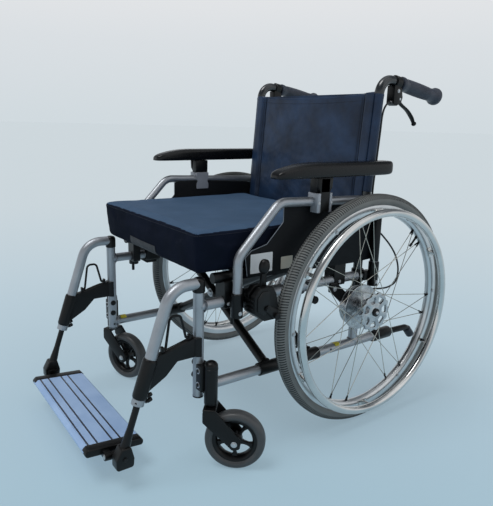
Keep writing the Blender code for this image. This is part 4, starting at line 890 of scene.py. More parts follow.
def hoop() -> Pattern:
    """A round bar bent into a full hoop round the X axis."""
    made = Pattern(
        "hoop",
        {
            "Hoop radius": "NodeSocketFloat", "Bar radius": "NodeSocketFloat", "Steps": "NodeSocketInt",
            "Centre": "NodeSocketVector", "Material": "NodeSocketMaterial",
        },
    )
    path = made.add(
        "GeometryNodeCurvePrimitiveCircle", {},
        {"Radius": made.given["Hoop radius"], "Resolution": made.given["Steps"]}
    )
    bar = made.add(
        "GeometryNodeCurvePrimitiveCircle", {"Resolution": 20}, {"Radius": made.given["Bar radius"]}
    )
    swept = made.add(
        "GeometryNodeCurveToMesh", {}, {"Curve": path.outputs[0], "Profile Curve": bar.outputs[0]}
    )
    stood = made.add(
        "GeometryNodeTransform",
        {"Rotation": (0, math.pi / 2, 0)},
        {"Geometry": swept.outputs[0], "Translation": made.given["Centre"]},
    )
    made.end(stood.outputs[0])
    return made


def line_mesh(points: Sequence[Vector]) -> Mesh:
    """A path as loose edges, for the tree that lays a row along it."""
    made = bpy.data.meshes.new("path")
    made.from_pydata([tuple(p) for p in points], [(i, i + 1) for i in range(len(points) - 1)], [])
    return made


def board_tilt() -> Matrix:
    """The footboard's slope, about its middle."""
    middle = Vector((0, BOARD_Y, BOARD_Z))
    slope = Matrix.Rotation(math.radians(BOARD_TILT), 4, "X")
    return Matrix.Translation(middle) @ slope @ Matrix.Translation(-middle)


def back_line(z: float) -> float:
    """The y of a back post's centre at a height."""
    return REAR_POST_Y + BACK_LEAN * max(z - BACK_KNEE_Z, 0.0)


@dataclass(frozen=True)
class SideFrame:
    """Front post, two rails and rear stub in silver tube, with the black fittings clamped on them."""

    post_foot: float = 0.161
    lower_rear_y: float = 0.15
    stub_top: float = 0.262
    sleeve_r: float = 0.0165
    socket_r: float = 0.0142
    socket_ys: tuple = ((0.062, (0.351, 0.418)), (-0.39, (0.345, 0.402)))
    saddle_ys: tuple = ((-0.414, -0.392), (-0.07, -0.03))
    saddle_x: tuple = (0.2245, 0.2627)
    saddle_z: tuple = (0.3635, 0.4275)
    rail_holes: tuple = ((-0.0646, 0.1845), (-0.0326, 0.1823))
    post_plugs: tuple = ((-0.476, 0.243), (-0.477, 0.212))

    @property
    def tags(self) -> dict[Side, Flat]:
        """Where each lower rail's tag lies, in y and z."""
        return {Side.LEFT: (-0.037, 0.1965), Side.RIGHT: (-0.443, 0.1975)}

    def build(self) -> None:
        """Places the tubes, the fittings and the small marks of both sides."""
        place_pair("frame_tubes", self.tubes(), SATIN_TUBE, "frame", ["side_frame"])
        place_pair("frame_fittings", self.fittings(), MOULDED, "frame")
        place_pair("frame_plugs", self.plugs(), MOULDED, "frame")
        place_pair("frame_bolts", self.bolts(), ZINC, "frame")
        for side, (y, z) in self.tags.items():
            place(
                side.named("rail_tag"), [self.tag(y, z)], TAG_YELLOW, side.named("frame"),
                mirror=side is Side.RIGHT,
            )
        # Dark discs on the rail: painted shade inside its drilled holes
        depth = [(0, 0.0028), (0.0014, 0.0026)]
        holes = [turned((FRAME_X + TUBE_R - 0.0012, y, z), X_AXIS, depth, 16) for y, z in self.rail_holes]
        place("left_rail_holes", holes, HOLE_SHADE, "left_frame")

    def tubes(self) -> list[Mesh]:
        """The tubes, with a fillet of weld where one meets another."""
        x = FRAME_X
        lower = tube([(x, FRONT_POST_Y, LOWER_RAIL_Z), (x, self.lower_rear_y, LOWER_RAIL_Z)], TUBE_R)
        upper = tube([(x, FRONT_POST_Y, UPPER_RAIL_Z), (x, REAR_POST_Y, UPPER_RAIL_Z)], TUBE_R)
        height = FRONT_POST_TOP - self.post_foot
        front = turned((x, FRONT_POST_Y, self.post_foot), Z_AXIS, [(0, TUBE_R), (height, TUBE_R)], 24)
        height = self.stub_top - LOWER_RAIL_Z
        stub = turned((x, REAR_POST_Y, LOWER_RAIL_Z), Z_AXIS, [(0, TUBE_R), (height, TUBE_R)], 24)
        welds = []
        for y, z, way in (
            (FRONT_POST_Y, LOWER_RAIL_Z, 1), (FRONT_POST_Y, UPPER_RAIL_Z, 1), (REAR_POST_Y, UPPER_RAIL_Z, -1),
        ):
            start = (x, y + way * (TUBE_R - 0.002), z)
            weld = [(0, 0.0162), (0.002, 0.0152), (0.0045, 0.0133), (0.006, 0.0124)]
            welds.append(turned(start, (0, way, 0), weld))
        start = (x, REAR_POST_Y, LOWER_RAIL_Z + 0.01)
        welds.append(turned(start, Z_AXIS, [(0, 0.0162), (0.002, 0.015), (0.005, 0.0124)]))
        return [lower, upper, front, stub, *welds]

    def fittings(self) -> list[Mesh]:
        """Axle sleeve, receiver, armrest sockets, seat-rail saddles, brake lug, and the knob on its arm."""
        x = FRAME_X
        r = self.sleeve_r
        sleeve = turned((x, REAR_POST_Y, 0.248), Z_AXIS, cylinder(0.097, r, 0.0015, 0.0015))
        clamp = turned((x, REAR_POST_Y, 0.361), Z_AXIS, cylinder(0.035, r))
        receiver = block((0.236, 0.2666), (-0.016, 0.02), (0.285, 0.325), 0.003)
        made = [sleeve, clamp, receiver]
        bore, outer = ARM_TUBE_R + GAP, self.socket_r
        for y, (low, high) in self.socket_ys:
            tall = high - low
            profile = [
                (0, bore), (0, outer - 0.0006), (0.001, outer), (tall - 0.0015, outer),
                (tall, outer - 0.0012),
                (tall, bore),
            ]
            made.append(ring((ARM_X, y, low), Z_AXIS, profile, 32))
            root = (y - 0.011, y + 0.011) if y < 0 else (0.032, 0.06)
            made.append(block((0.256, 0.274), root, (0.366, 0.392), 0.002))
        for low, high in self.saddle_ys:
            saddle = plate(
                rounded_outline(rectangle(self.saddle_x, self.saddle_z), 0.004), low, high, Along.Y
            )
            ends = [(SEAT_RAIL_X, y, SEAT_RAIL_Z) for y in (low - 0.01, high + 0.01)]
            made.append(eased(fuse([saddle], [tube(ends, TUBE_R + GAP, 32)]), 0.0008, 1, CORNERS_ABOVE))
        made.append(block((0.256, 0.2666), (-0.084, -0.06), (0.348, 0.374), 0.002))
        arm = [(x, -0.158, 0.372), (x, -0.142, 0.352), (x, -0.128, 0.334)]
        made.append(tube(rounded(arm, 0.012, 4), 0.006, 16))
        knob = [(0, 0.008), (0.002, 0.01), (0.018, 0.0104), (0.021, 0.008)]
        made.append(turned((0.24, -0.128, 0.334), X_AXIS, knob))
        return made

    def plugs(self) -> list[Mesh]:
        """The front post's end plug, two plugs and a pin on its inner side, and the front socket's rod."""
        end_plug = [(0, 0.009), (0.0015, 0.0122), (0.004, 0.0129), (0.0055, 0.0124)]
        made = [turned((FRAME_X, FRONT_POST_Y, self.post_foot - 0.0015), Z_AXIS, end_plug)]
        inner = FRAME_X - TUBE_R
        for y, z in self.post_plugs:
            made.append(
                turned((inner + 0.001, y, z), (-1, 0, 0), [(0, 0.008), (0.0016, 0.0078), (0.0024, 0.006)], 24)
            )
        pin = [(0, 0.0032), (0.001, 0.003)]
        made.append(turned((inner + 0.0006, FRONT_POST_Y, 0.176), (-1, 0, 0), pin, 16))
        made.append(
            turned((0.2685, -0.3965, 0.327), Z_AXIS, [(0, 0.003), (0.001, 0.0042), (0.035, 0.0042)], 16)
        )
        return made

    def bolts(self) -> list[Mesh]:
        """The bolts of sockets, saddles and clamp."""
        made = hex_bolt((FRAME_X + self.sleeve_r - 0.001, REAR_POST_Y, 0.3785), X_AXIS, 0.005, 0.004)
        for y, (low, high) in self.socket_ys:
            made += hex_bolt((ARM_X + self.socket_r - 0.0008, y, low + 0.012), X_AXIS, 0.0036, 0.003)
        for low, high in self.saddle_ys:
            made += hex_bolt((0.2625, (low + high) / 2, UPPER_RAIL_Z - 0.004), X_AXIS, 0.0034, 0.0028)
        return made

    def tag(self, y: float, z: float) -> Mesh:
        """A bare tag bent over the lower rail."""
        turns = [math.radians(30 + 15 * i) for i in range(9)]
        inner, outer = (
            [(FRAME_X + r * math.cos(t), z - 0.0145 + r * math.sin(t)) for t in turns]
            for r in (TUBE_R + 0.0002, TUBE_R + 0.0008)
        )
        return plate(inner + outer[::-1], y - 0.009, y + 0.009, Along.Y)


@dataclass(frozen=True)
class PushHandle:
    """The back post bent over into a handle, with its grip, the hand brake and the brake's cable."""

    grip_start: Vector = Vector((FRAME_X, 0.139, 0.886))
    grip_end: Vector = Vector((FRAME_X, 0.297, 0.859))
    bend_r: float = 0.038
    pivot: Vector = Vector((FRAME_X, 0.131, 0.846))
    cable_r: float = 0.0025
    blade: tuple = (
        (0.131, 0.846, 0.005, 0.0065), (0.15, 0.833, 0.0052, 0.0045), (0.178, 0.818, 0.0075, 0.003),
        (0.199, 0.8, 0.0075, 0.003), (0.211, 0.784, 0.005, 0.003),
    )
    cable_route: tuple = (
        (0.256, 0.1055, 0.838), (0.257, 0.092, 0.836), (0.2555, 0.08, 0.822), (0.2545, 0.0745, 0.8),
        (0.254, 0.0725, 0.76), (0.254, 0.0665, 0.68), (0.254, 0.0615, 0.61), (0.2545, 0.0625, 0.56),
        (0.257, 0.08, 0.509), (0.259, 0.112, 0.48), (0.26, 0.143, 0.452), (0.262, 0.168, 0.421),
        (0.263, 0.183, 0.388), (0.264, 0.185, 0.361), (0.265, 0.176, 0.34), (0.266, 0.155, 0.331),
        (0.267, 0.13, 0.329), (0.268, 0.098, 0.332), (0.2685, 0.0605, 0.339),
    )

    def build(self) -> None:
        """Places posts, grips, brake levers and cables."""
        place_pair("back_tube", [self.post()], DARK_TUBE, "frame", ["back_post"])
        place_pair("rubber_grip", [self.grip()], GRIP, "frame", ["push_grip"])
        place_pair("lever_housing", self.clamp(), MOULDED, "frame", ["brake_lever_clamp"])
        place_pair("brake_lever_bolts", self.bolts(), ZINC, "frame")
        place_pair("lever_blade", self.lever(), MOULDED, "hand_brake", ["attendant_brake_lever"])
        self.build_cable()

    def post(self) -> Mesh:
        """The rear tube: upright, leaning back, then bent over."""
        slope = (self.grip_end.z - self.grip_start.z) / (self.grip_end.y - self.grip_start.y)
        level = back_line(BACK_KNEE_Z) - BACK_LEAN * BACK_KNEE_Z - self.grip_start.y
        z = (self.grip_start.z + slope * level) / (1 - slope * BACK_LEAN)
        corners = [
            (FRAME_X, REAR_POST_Y, 0.2624), (FRAME_X, REAR_POST_Y, BACK_KNEE_Z), (FRAME_X, back_line(z), z),
            self.grip_end.lerp(self.grip_start, 0.05),
        ]
        return tube(rounded(corners, [0.1, self.bend_r], 14), TUBE_R, 28)

    def grip(self) -> Mesh:
        """The rubber grip: a collar, fine rings where the fingers go, and a flange at the open end."""
        along = self.grip_end - self.grip_start
        length = along.length
        stations = [
            (0, 0.015), (0.001, 0.0182), (0.003, 0.019), (0.009, 0.019), (0.012, 0.0184), (0.016, 0.0175)
        ]
        for i in range(24):
            a = 0.026 + 0.0038 * i
            swell = 0.0008 * math.sin(math.pi * i / 23)
            low, high = 0.0172 + swell, 0.0178 + swell
            stations += [(a, low), (a + 0.0008, high), (a + 0.0022, high), (a + 0.003, low)]
        stations += [
            (length - 0.024, 0.0176), (length - 0.018, 0.019), (length - 0.013, 0.0222),
            (length - 0.01, 0.0234),
            (length - 0.004, 0.0235), (length - 0.001, 0.0226), (length + 0.0005, 0.02),
            (length + 0.001, 0.012),
        ]
        return turned(self.grip_start, along, stations, 40)

    def on_handle(self, y: float) -> Vector:
        """A point on the handle's centre line."""
        return self.grip_start.lerp(
            self.grip_end, (y - self.grip_start.y) / (self.grip_end.y - self.grip_start.y)
        )

    def clamp(self) -> list[Mesh]:
        """The ring on the tube, the housing under it with the lever's slot, and the cable's adjuster."""
        along = (self.grip_end - self.grip_start).normalized()
        start = self.on_handle(0.114)
        band = turned(start, along, cylinder(0.02, 0.0167, 0.001, 0.0012), 32)
        outline = [
            (0.106, 0.881), (0.134, 0.876), (0.14, 0.85), (0.136, 0.838), (0.118, 0.828), (0.106, 0.834)
        ]
        housing = plate(rounded_outline(outline, 0.004), FRAME_X - 0.0125, FRAME_X + 0.0125)
        slot = block((FRAME_X - 0.0056, FRAME_X + 0.0056), (0.119, 0.16), (0.8, 0.8585), 0.0005)
        housing = eased(fuse([housing], [slot]), 0.0016, 2, CORNERS_ABOVE)
        adjuster = turned(
            (0.256, 0.1035, 0.8382), (0.05, -1, -0.12),
            [(-0.004, 0.0048), (0.004, 0.0048), (0.0045, 0.0038), (0.01, 0.0036), (0.011, 0.0029)], 20,
        )
        return [band, housing, adjuster]

    def bolts(self) -> list[Mesh]:
        """The clamp's screw and the lever's pivot pin."""
        made = hex_bolt((FRAME_X + 0.0122, 0.122, 0.866), X_AXIS, 0.0036, 0.0026)
        pin = turned((FRAME_X - 0.013, *self.pivot.yz), X_AXIS, cylinder(0.026, 0.0036, 0.001, 0.0006), 20)
        return [*made, pin]

    def lever(self) -> list[Mesh]:
        """A thin curved blade, rounded on its edges, ending in a ball."""
        path = smooth_route([Vector((FRAME_X, y, z)) for y, z, wide, thick in self.blade], 6)
        sizes = smooth_route([Vector((wide, thick, 0)) for y, z, wide, thick in self.blade], 6)
        rings = []
        for i, (point, size) in enumerate(zip(path, sizes)):
            first, second = across(path[min(i + 1, len(path) - 1)] - path[max(i - 1, 0)])
            rings.append(circle(point, size.x, first, second, 20, size.y / size.x))
        ball = turned((FRAME_X, 0.2085, 0.7885), (0, 0.62, -0.78), ball_stations(0.0068, 0.0115), 24)
        eye = turned(self.pivot - Vector((0.005, 0, 0)), X_AXIS, cylinder(0.01, 0.0072, 0.0008, 0.0006), 28)
        return [skin(rings), ball, eye]

    def build_cable(self) -> None:
        """Places each cable with a ferrule at each end; it runs from the lever to the drum brake."""
        path = smooth_route([Vector(p) for p in self.cable_route], 6)
        pair = place_pair("cable", [tube(path, self.cable_r, 14)], CABLE, "frame", ["brake_cable"])
        ferrule = [(-0.002, 0.003), (-0.0015, 0.0034), (0.008, 0.0034), (0.009, 0.0028)]
        ends = [turned(a, b - a, ferrule, 16) for a, b in ((path[0], path[3]), (path[-1], path[-4]))]
        place_pair("cable_ferrules", ends, ZINC, "frame")


def ball_stations(radius: float, length: float) -> list[Flat]:
    """The stations of a ball, drawn out to a length."""
    turns = [math.pi * i / 12 for i in range(13)]
    return [(length * (1 - math.cos(t)) / 2, max(radius * math.sin(t), 0.0004)) for t in turns]


def smooth_route(points: Sequence[Vector], steps: int) -> list[Vector]:
    """Points along a smooth curve through the given ones."""
    path = []
    for i in range(len(points) - 1):
        p0, p1, p2, p3 = (points[min(max(i + k, 0), len(points) - 1)] for k in (-1, 0, 1, 2))
        for j in range(steps):
            t = j / steps
            bend = (2 * p0 - 5 * p1 + 4 * p2 - p3) * t**2
            twist = (3 * p1 - p0 - 3 * p2 + p3) * t**3
            path.append(0.5 * (2 * p1 + (p2 - p0) * t + bend + twist))
    path.append(points[-1])
    return path


@dataclass(frozen=True)
class WheelLock:
    """The parking brake on the upper rail: clamp, housing, tyre shoe, and the lever with its oval handle."""

    pivot: Vector = Vector((0.3005, -0.338, 0.402))
    shoe: tuple = (-0.3145, 0.349)

    def build(self) -> None:
        """Places bodies, bolts and levers."""
        outline = [
            (-0.372, 0.36), (-0.372, 0.4), (-0.356, 0.418), (-0.322, 0.418), (-0.312, 0.4), (-0.306, 0.372),
            (-0.312, 0.34), (-0.345, 0.34),
        ]
        housing = plate(rounded_outline(outline, 0.005), 0.28, 0.322)
        slot = block((self.pivot.x - 0.0046, self.pivot.x + 0.0046), (-0.4, -0.3), (0.386, 0.45), 0.0005)
        housing = eased(fuse([housing], [slot]), 0.0025, 3, CORNERS_ABOVE)
        hold = rectangle((0.2335, 0.284), (0.3605, 0.3955))
        clamp = slab(hold, 0.006, -0.368, -0.322, 0.0015, Along.Y)
        stations = [(0, 0.0064), (0.001, 0.0078), *self.knurl(), (0.034, 0.0078), (0.035, 0.0064)]
        shoe = turned((0.299, *self.shoe), X_AXIS, stations, 28)
        place_pair("lock_body", [housing, clamp, shoe], MOULDED, "frame", ["parking_brake_body"])
        cover = [
            (-0.366, 0.366), (-0.366, 0.396), (-0.352, 0.411), (-0.334, 0.411), (-0.33, 0.372),
            (-0.345, 0.354),
        ]
        link = [(-0.346, 0.366), (-0.338, 0.378), (-0.309, 0.362), (-0.308, 0.346), (-0.318, 0.342)]
        details = [slab(cover, 0.004, 0.3212, 0.3246, 0.001), slab(link, 0.004, 0.3212, 0.3272, 0.001)]
        details += hex_bolt((0.327, -0.341, 0.369), X_AXIS, 0.0044, 0.003)
        details += hex_bolt((0.327, -0.3145, 0.352), X_AXIS, 0.0038, 0.0026)
        details += hex_bolt((0.3216, self.pivot.y, self.pivot.z - 0.004), X_AXIS, 0.0038, 0.0028)
        details += hex_bolt((0.26, -0.345, 0.3953), Z_AXIS, 0.0042, 0.0032)
        for low in (0.368, 0.378, 0.388):
            details.append(block((0.285, 0.317), (-0.3737, -0.3715), (low, low + 0.004), 0.0004))
        place_pair("lock_linkage", details, POWDER, "frame")
        x, y, z = self.pivot
        blade = [
            (y - 0.009, z - 0.009), (y + 0.009, z - 0.009), (y + 0.01, z + 0.054), (y - 0.002, z + 0.054)
        ]
        arm = slab(blade, 0.004, x - 0.004, x + 0.004, 0.001)
        axis = Vector((0, 0.12, 1)).normalized()
        first, second = across(axis)
        start = Vector((x + 0.001, y + 0.002, z + 0.044))
        stations = [
            (0, 0.0056), (0.0025, 0.0082), (0.006, 0.0102), (0.012, 0.0114), (0.019, 0.0113), (0.026, 0.0098),
            (0.03, 0.0078), (0.0323, 0.005), (0.033, 0.0022),
        ]
        knob = skin([circle(start + a * axis, r, first, second, 28, 1.15) for a, r in stations])
        place_pair("lock_lever", [arm, knob], MOULDED, "wheel_lock", ["parking_brake_lever"])

    def knurl(self) -> list[Flat]:
        """The rings cut in the shoe."""
        made = []
        for i in range(7):
            a = 0.003 + 0.0043 * i
            made += [(a, 0.0078), (a + 0.0004, 0.007), (a + 0.0012, 0.007), (a + 0.0016, 0.0078)]
        return made


class TippingLever:
    """The step tube behind the lower rail, clamped on it, with a ribbed rubber foot."""

    def build(self) -> None:
        """Places the clamps, tubes and feet."""
        x, z = FRAME_X, LOWER_RAIL_Z
        stations = [(0, 0.015), (0.0015, 0.0166), (0.07, 0.0168), (0.074, 0.015), (0.077, 0.012)]
        clamp = turned((x, 0.108, z), Y_AXIS, stations)
        collar = turned((x, 0.1165, z), Y_AXIS, cylinder(0.007, 0.0176))
        path = rounded([(x, 0.17, z), (x, 0.264, 0.178), (x, 0.288, 0.151)], 0.018)
        place_pair(
            "tipping_tube", [clamp, collar, tube(path, 0.009, 24)], MOULDED, "frame", ["tipping_lever"]
        )
        start, end = Vector((x, 0.268, 0.1736)), Vector((x, 0.29, 0.1488))
        stations = [(0, 0.0098), (0.001, 0.0112)]
        for i in range(6):
            a = 0.003 + 0.0045 * i
            stations += [(a, 0.0121), (a + 0.0025, 0.0121), (a + 0.003, 0.0113), (a + 0.004, 0.0113)]
        length = (end - start).length
        stations += [(length - 0.002, 0.0118), (length, 0.0098)]
        place_pair("tipping_foot", [turned(start, end - start, stations, 28)], GRIP, "frame")


@dataclass(frozen=True)
class RearWheel:
    """A 24 inch wheel: tyre, rim, spokes with nipples, drum hub and push ring, all turning together."""

    x: float = 0.318
    radius: float = 0.305
    rim_outer: float = 0.269
    rim_inner: float = 0.252
    push_x: float = 0.36
    push_r: float = 0.2625
    bar_r: float = 0.01
    flange_r: float = 0.2776
    steps: int = 160
    tread_ribs: int = 288
    crossings: int = 7
    tabs: int = 6
    wire_r: float = 0.001
    nipple_r: float = 0.0022
    nipple_from: float = 0.945
    spoke_end_r: float = 0.2522
    flanges: tuple = ((0.297, 0.058), (0.346, 0.048))

    def build(self, repeat: Pattern, hoop_tree: Pattern) -> None:
        """Places the wheels' pieces.

        Args:
            repeat: The tree that repeats a shape round an axle.
            hoop_tree: The tree that bends a bar into a hoop.
        """
        centre = (self.x, 0, AXLE_Z)
        tyre = ring(centre, X_AXIS, self.tyre_profile(), self.steps)
        place_pair("tyre", [tyre], TYRE, "wheel", ["wheel_tyre"])
        ribs = repeated(repeat, self.rib(), self.tread_ribs, centre, TREAD)
        place_pair("tyre_tread", [ribs], TREAD, "wheel", round_below=20)
        rim = ring(centre, X_AXIS, self.rim_profile(), self.steps)
        place_pair("rim", [rim], BRUSHED_RIM, "wheel", ["wheel_rim"])
        spokes = joined(self.spokes(self.wire_r, 0.0))
        place_pair("wheel_spokes", [repeated(repeat, spokes, self.crossings, centre, WIRE)], WIRE, "wheel")
        nipples = joined(self.spokes(self.nipple_r, self.nipple_from))
        place_pair(
            "spoke_nipples", [repeated(repeat, nipples, self.crossings, centre, MOULDED)], MOULDED, "wheel"
        )
        way = Vector((0, 0.195, 0.19)).normalized()
        stem = [
            (-0.002, 0.004), (0.004, 0.004), (0.0045, 0.003), (0.024, 0.0026), (0.0245, 0.0034),
            (0.033, 0.0034),
            (0.034, 0.0024),
        ]
        place_pair(
            "tyre_valve", [turned(Vector(centre) + self.rim_inner * way, -way, stem, 16)], MOULDED, "wheel"
        )
        self.build_hub()
        push_centre = (self.push_x, 0, AXLE_Z)
        bar = hoop_tree.bake(
            Hoop_radius=self.push_r, Bar_radius=self.bar_r, Steps=self.steps, Centre=push_centre,
            Material=BRIGHT.material(),
        )
        tabs = repeated(repeat, joined(self.tab()), self.tabs, centre, BRIGHT)
        place_pair("push_ring", [bar, tabs], BRIGHT, "wheel", ["hand_rim"])
        bolt = joined(hex_bolt((0.0125, self.push_r, 0), X_AXIS, 0.004, 0.0032))
        place_pair("push_ring_bolts", [repeated(repeat, bolt, self.tabs, centre, ZINC, 0.045)], ZINC, "wheel")

    def tyre_profile(self) -> list[Flat]:
        """The tyre's section: beads, round side walls, and a tread with two narrow grooves."""
        half = [
            (0.0105, self.rim_outer + GAP), (0.0112, self.flange_r - 0.001), (0.0132, self.flange_r + 0.0012),
            (0.0154, 0.2812), (0.0168, 0.285), (0.0172, 0.2888), (0.0167, 0.293), (0.0154, 0.2966),
            (0.0132, 0.2997),
            (0.0104, 0.3021), (0.0076, 0.3035), (0.0058, 0.3041), (0.0054, 0.303), (0.0046, 0.303),
            (0.0042, 0.3044),
            (0.001, 0.3047),
        ]
        return [(-x, r) for x, r in half] + half[::-1]

    def rib(self) -> Mesh:
        """One slanting rib on each shoulder."""
        crown = (
            (0.0012, 0.3041), (0.006, 0.3038), (0.01, 0.3021), (0.0134, 0.2992), (0.0154, 0.2963),
            (0.0166, 0.293),
        )
        made = []
        for way in (1, -1):
            rings = []
            for x, r in crown:
                slant = 0.0022 * (x - 0.001) / 0.01
                rings.append([
                    Vector((way * x, r * math.sin((slant + w) / r), r * math.cos((slant + w) / r)))
                    + lift * Vector((way * 0.5, 0, 0.8))
                    for w,
                    lift in ((-0.0015, -0.0006), (-0.0011, 0.0008), (0.0011, 0.0008), (0.0015, -0.0006))
                ])
            made.append(skin(rings))
        return joined(made)

    def rim_profile(self) -> list[Flat]:
        """The rim's section: hooked edges, a braking band on each side, and a rounded spoke bed."""
        half = [
            (0.0106, self.rim_outer - 0.0005), (0.0114, self.flange_r - 0.0008), (0.0124, self.flange_r),
            (0.013, self.flange_r - 0.001), (0.013, 0.264), (0.0126, 0.2622), (0.0112, 0.2585),
            (0.0084, 0.2548),
            (0.0045, 0.2526), (0.001, self.rim_inner),
        ]
        return [(-x, r) for x, r in half] + half[::-1]

    def spokes(self, radius: float, first: float) -> list[Mesh]:
        """Two crossing spokes of each flange round x 0, or the share of each that a nipple covers.

        Args:
            radius: The radius of the bar.
            first: The share of the spoke's length where it starts.

        Returns:
            Four bars.
        """
        step = math.pi / self.crossings
        made = []
        for (flange_x, hole_r), half_turn in zip(self.flanges, (0.0, step / 2)):
            out = 1 if flange_x > self.x else -1
            for i in (0, 1):
                way = 1 if i else -1
                hub_turn = i * step + half_turn
                rim_turn = hub_turn + way * 2.5 * step
                offset = flange_x - self.x + way * 0.0016
                start = Vector((offset, hole_r * math.cos(hub_turn), hole_r * math.sin(hub_turn)))
                end_x = out * 0.0035 + way * 0.0016
                end_r = self.spoke_end_r
                end = Vector((end_x, end_r * math.cos(rim_turn), end_r * math.sin(rim_turn)))
                made.append(tube([start.lerp(end, first), end], radius, 8))
        return made

    def tab(self) -> list[Mesh]:
        """A cast bracket from the rim to the push ring, round x 0 of the rim."""
        r = self.push_r
        reach = self.push_x - self.x
        tip = reach - 0.004
        outline = [(0.0124, r - 0.005), (0.0124, r + 0.005), (tip, r + 0.0045), (tip, r - 0.0045)]
        foot = [(0.0122, r - 0.0072), (0.0122, r + 0.0062), (0.0152, r + 0.0062), (0.0152, r - 0.0072)]
        arm = plate(rounded_outline(outline, 0.0015, 2), -0.0045, 0.0045, Along.Y)
        pad = plate(rounded_outline(foot, 0.001, 2), -0.012, 0.016, Along.Y)
        return [eased(arm, 0.001, 2, CORNERS_ABOVE), eased(pad, 0.0008, 2, CORNERS_ABOVE)]

    def build_hub(self) -> None:
        """The drum with its cooling rings, the barrel, and the outer flange like a star with windows."""
        profile = [
            (0.2705, 0.047), (0.2705, 0.052), (0.2712, 0.0535), (0.275, 0.0535), (0.2757, 0.0525),
            (0.279, 0.0525),
            (0.2797, 0.0535), (0.287, 0.0535), (0.2877, 0.0525), (0.291, 0.0525), (0.2918, 0.054),
            (0.2935, 0.06),
            (0.2945, 0.061), (0.2995, 0.061), (0.3003, 0.06), (0.3006, 0.05), (0.303, 0.042), (0.304, 0.03),
            (0.3065, 0.0225), (0.312, 0.0208), (0.33, 0.02), (0.34, 0.0215), (0.343, 0.026), (0.3436, 0.03),
            (0.3436, 0.0065), (0.29, 0.0065), (0.29, 0.047),
        ]
        drum = ring((0, 0, AXLE_Z), X_AXIS, profile, 72)
        star = []
        points = self.crossings * 16
        for i in range(points):
            t = 2 * math.pi * i / points
            r = 0.0495 + 0.0025 * math.cos(self.crossings * 2 * t)
            star.append((r * math.cos(t), AXLE_Z + r * math.sin(t)))
        flange = plate(star, 0.343, 0.3482)
        windows = []
        for i in range(self.crossings):
            t = 2 * math.pi * i / self.crossings + 0.11
            corners = [(t - 0.29, 0.0425), (t + 0.29, 0.0425), (t + 0.24, 0.0255), (t - 0.24, 0.0255)]
            outline = [(r * math.cos(a), AXLE_Z + r * math.sin(a)) for a, r in corners]
            windows.append(plate(rounded_outline(outline, 0.003, 3), 0.335, 0.36))
        bore = turned((0.33, 0, AXLE_Z), X_AXIS, [(0, 0.0065), (0.03, 0.0065)], 32)
        flange = eased(fuse([flange], [*windows, bore]), 0.0008, 2, CORNERS_ABOVE)
        profile = [(0.3475, 0.0066), (0.3475, 0.018), (0.3484, 0.017), (0.3489, 0.015), (0.3489, 0.0066)]
        boss = ring((0, 0, AXLE_Z), X_AXIS, profile, 48)
        place_pair("hub", [drum, flange, boss], CAST, "wheel", ["wheel_hub"])


@dataclass(frozen=True)
class DrumBrake:
    """The fixed side of the drum brake with its reaction arm, and the quick-release axle with its button."""

    plate_x: float = 0.267
    face: float = 0.3495

    def build(self) -> None:
        """Places brake plates, axles and buttons."""
        x = self.plate_x
        stations = [
            (0, 0.0488), (0.0008, 0.0498), (0.0022, 0.0498), (0.0028, 0.0485), (0.003, 0.042), (0.017, 0.041),
        ]
        disc = turned((x, 0, AXLE_Z), X_AXIS, stations, 56)
        arm = [(0.0, 0.29), (0.012, 0.305), (-0.06, 0.369), (-0.083, 0.369), (-0.083, 0.348), (-0.02, 0.292)]
        arm_plate = slab(arm, 0.005, x, x + 0.003, 0.0006, steps=1)
        lug = [(0.03, 0.325), (0.06, 0.331), (0.06, 0.347), (0.036, 0.346)]
        ear = plate(rounded_outline(lug, 0.003), x, x + 0.003)
        place_pair("drum_plate", [disc, arm_plate, ear], POWDER, "frame", ["brake_plate"])
        bolts = hex_bolt((x + 0.0024, -0.072, 0.3585), X_AXIS, 0.005, 0.0028)
        place_pair("drum_plate_bolt", bolts, ZINC, "frame")
        face = self.face
        axle = turned(
            (0, 0, AXLE_Z), X_AXIS,
            [(0.232, 0.004), (0.2335, 0.0055), (0.235, 0.006), (face, 0.006), (face + 0.0001, 0.01),
             (face + 0.0006, 0.0108), (face + 0.003, 0.0108), (face + 0.0038, 0.0098),
             (face + 0.0038, 0.0047),
             (face + 0.001, 0.0047)],
        )
        place_pair("axle", [axle], MOULDED, "frame", ["wheel_axle"])
        stations = [
            (face - 0.0032, 0.0042), (face + 0.0068, 0.0042), (face + 0.0074, 0.0038),
            (face + 0.0078, 0.0028),
            (face + 0.0078, 0.001),
        ]
        button = turned((0, 0, AXLE_Z), X_AXIS, stations, 28)
        place_pair("axle_button", [button], ZINC, "button", ["quick_release_button"])


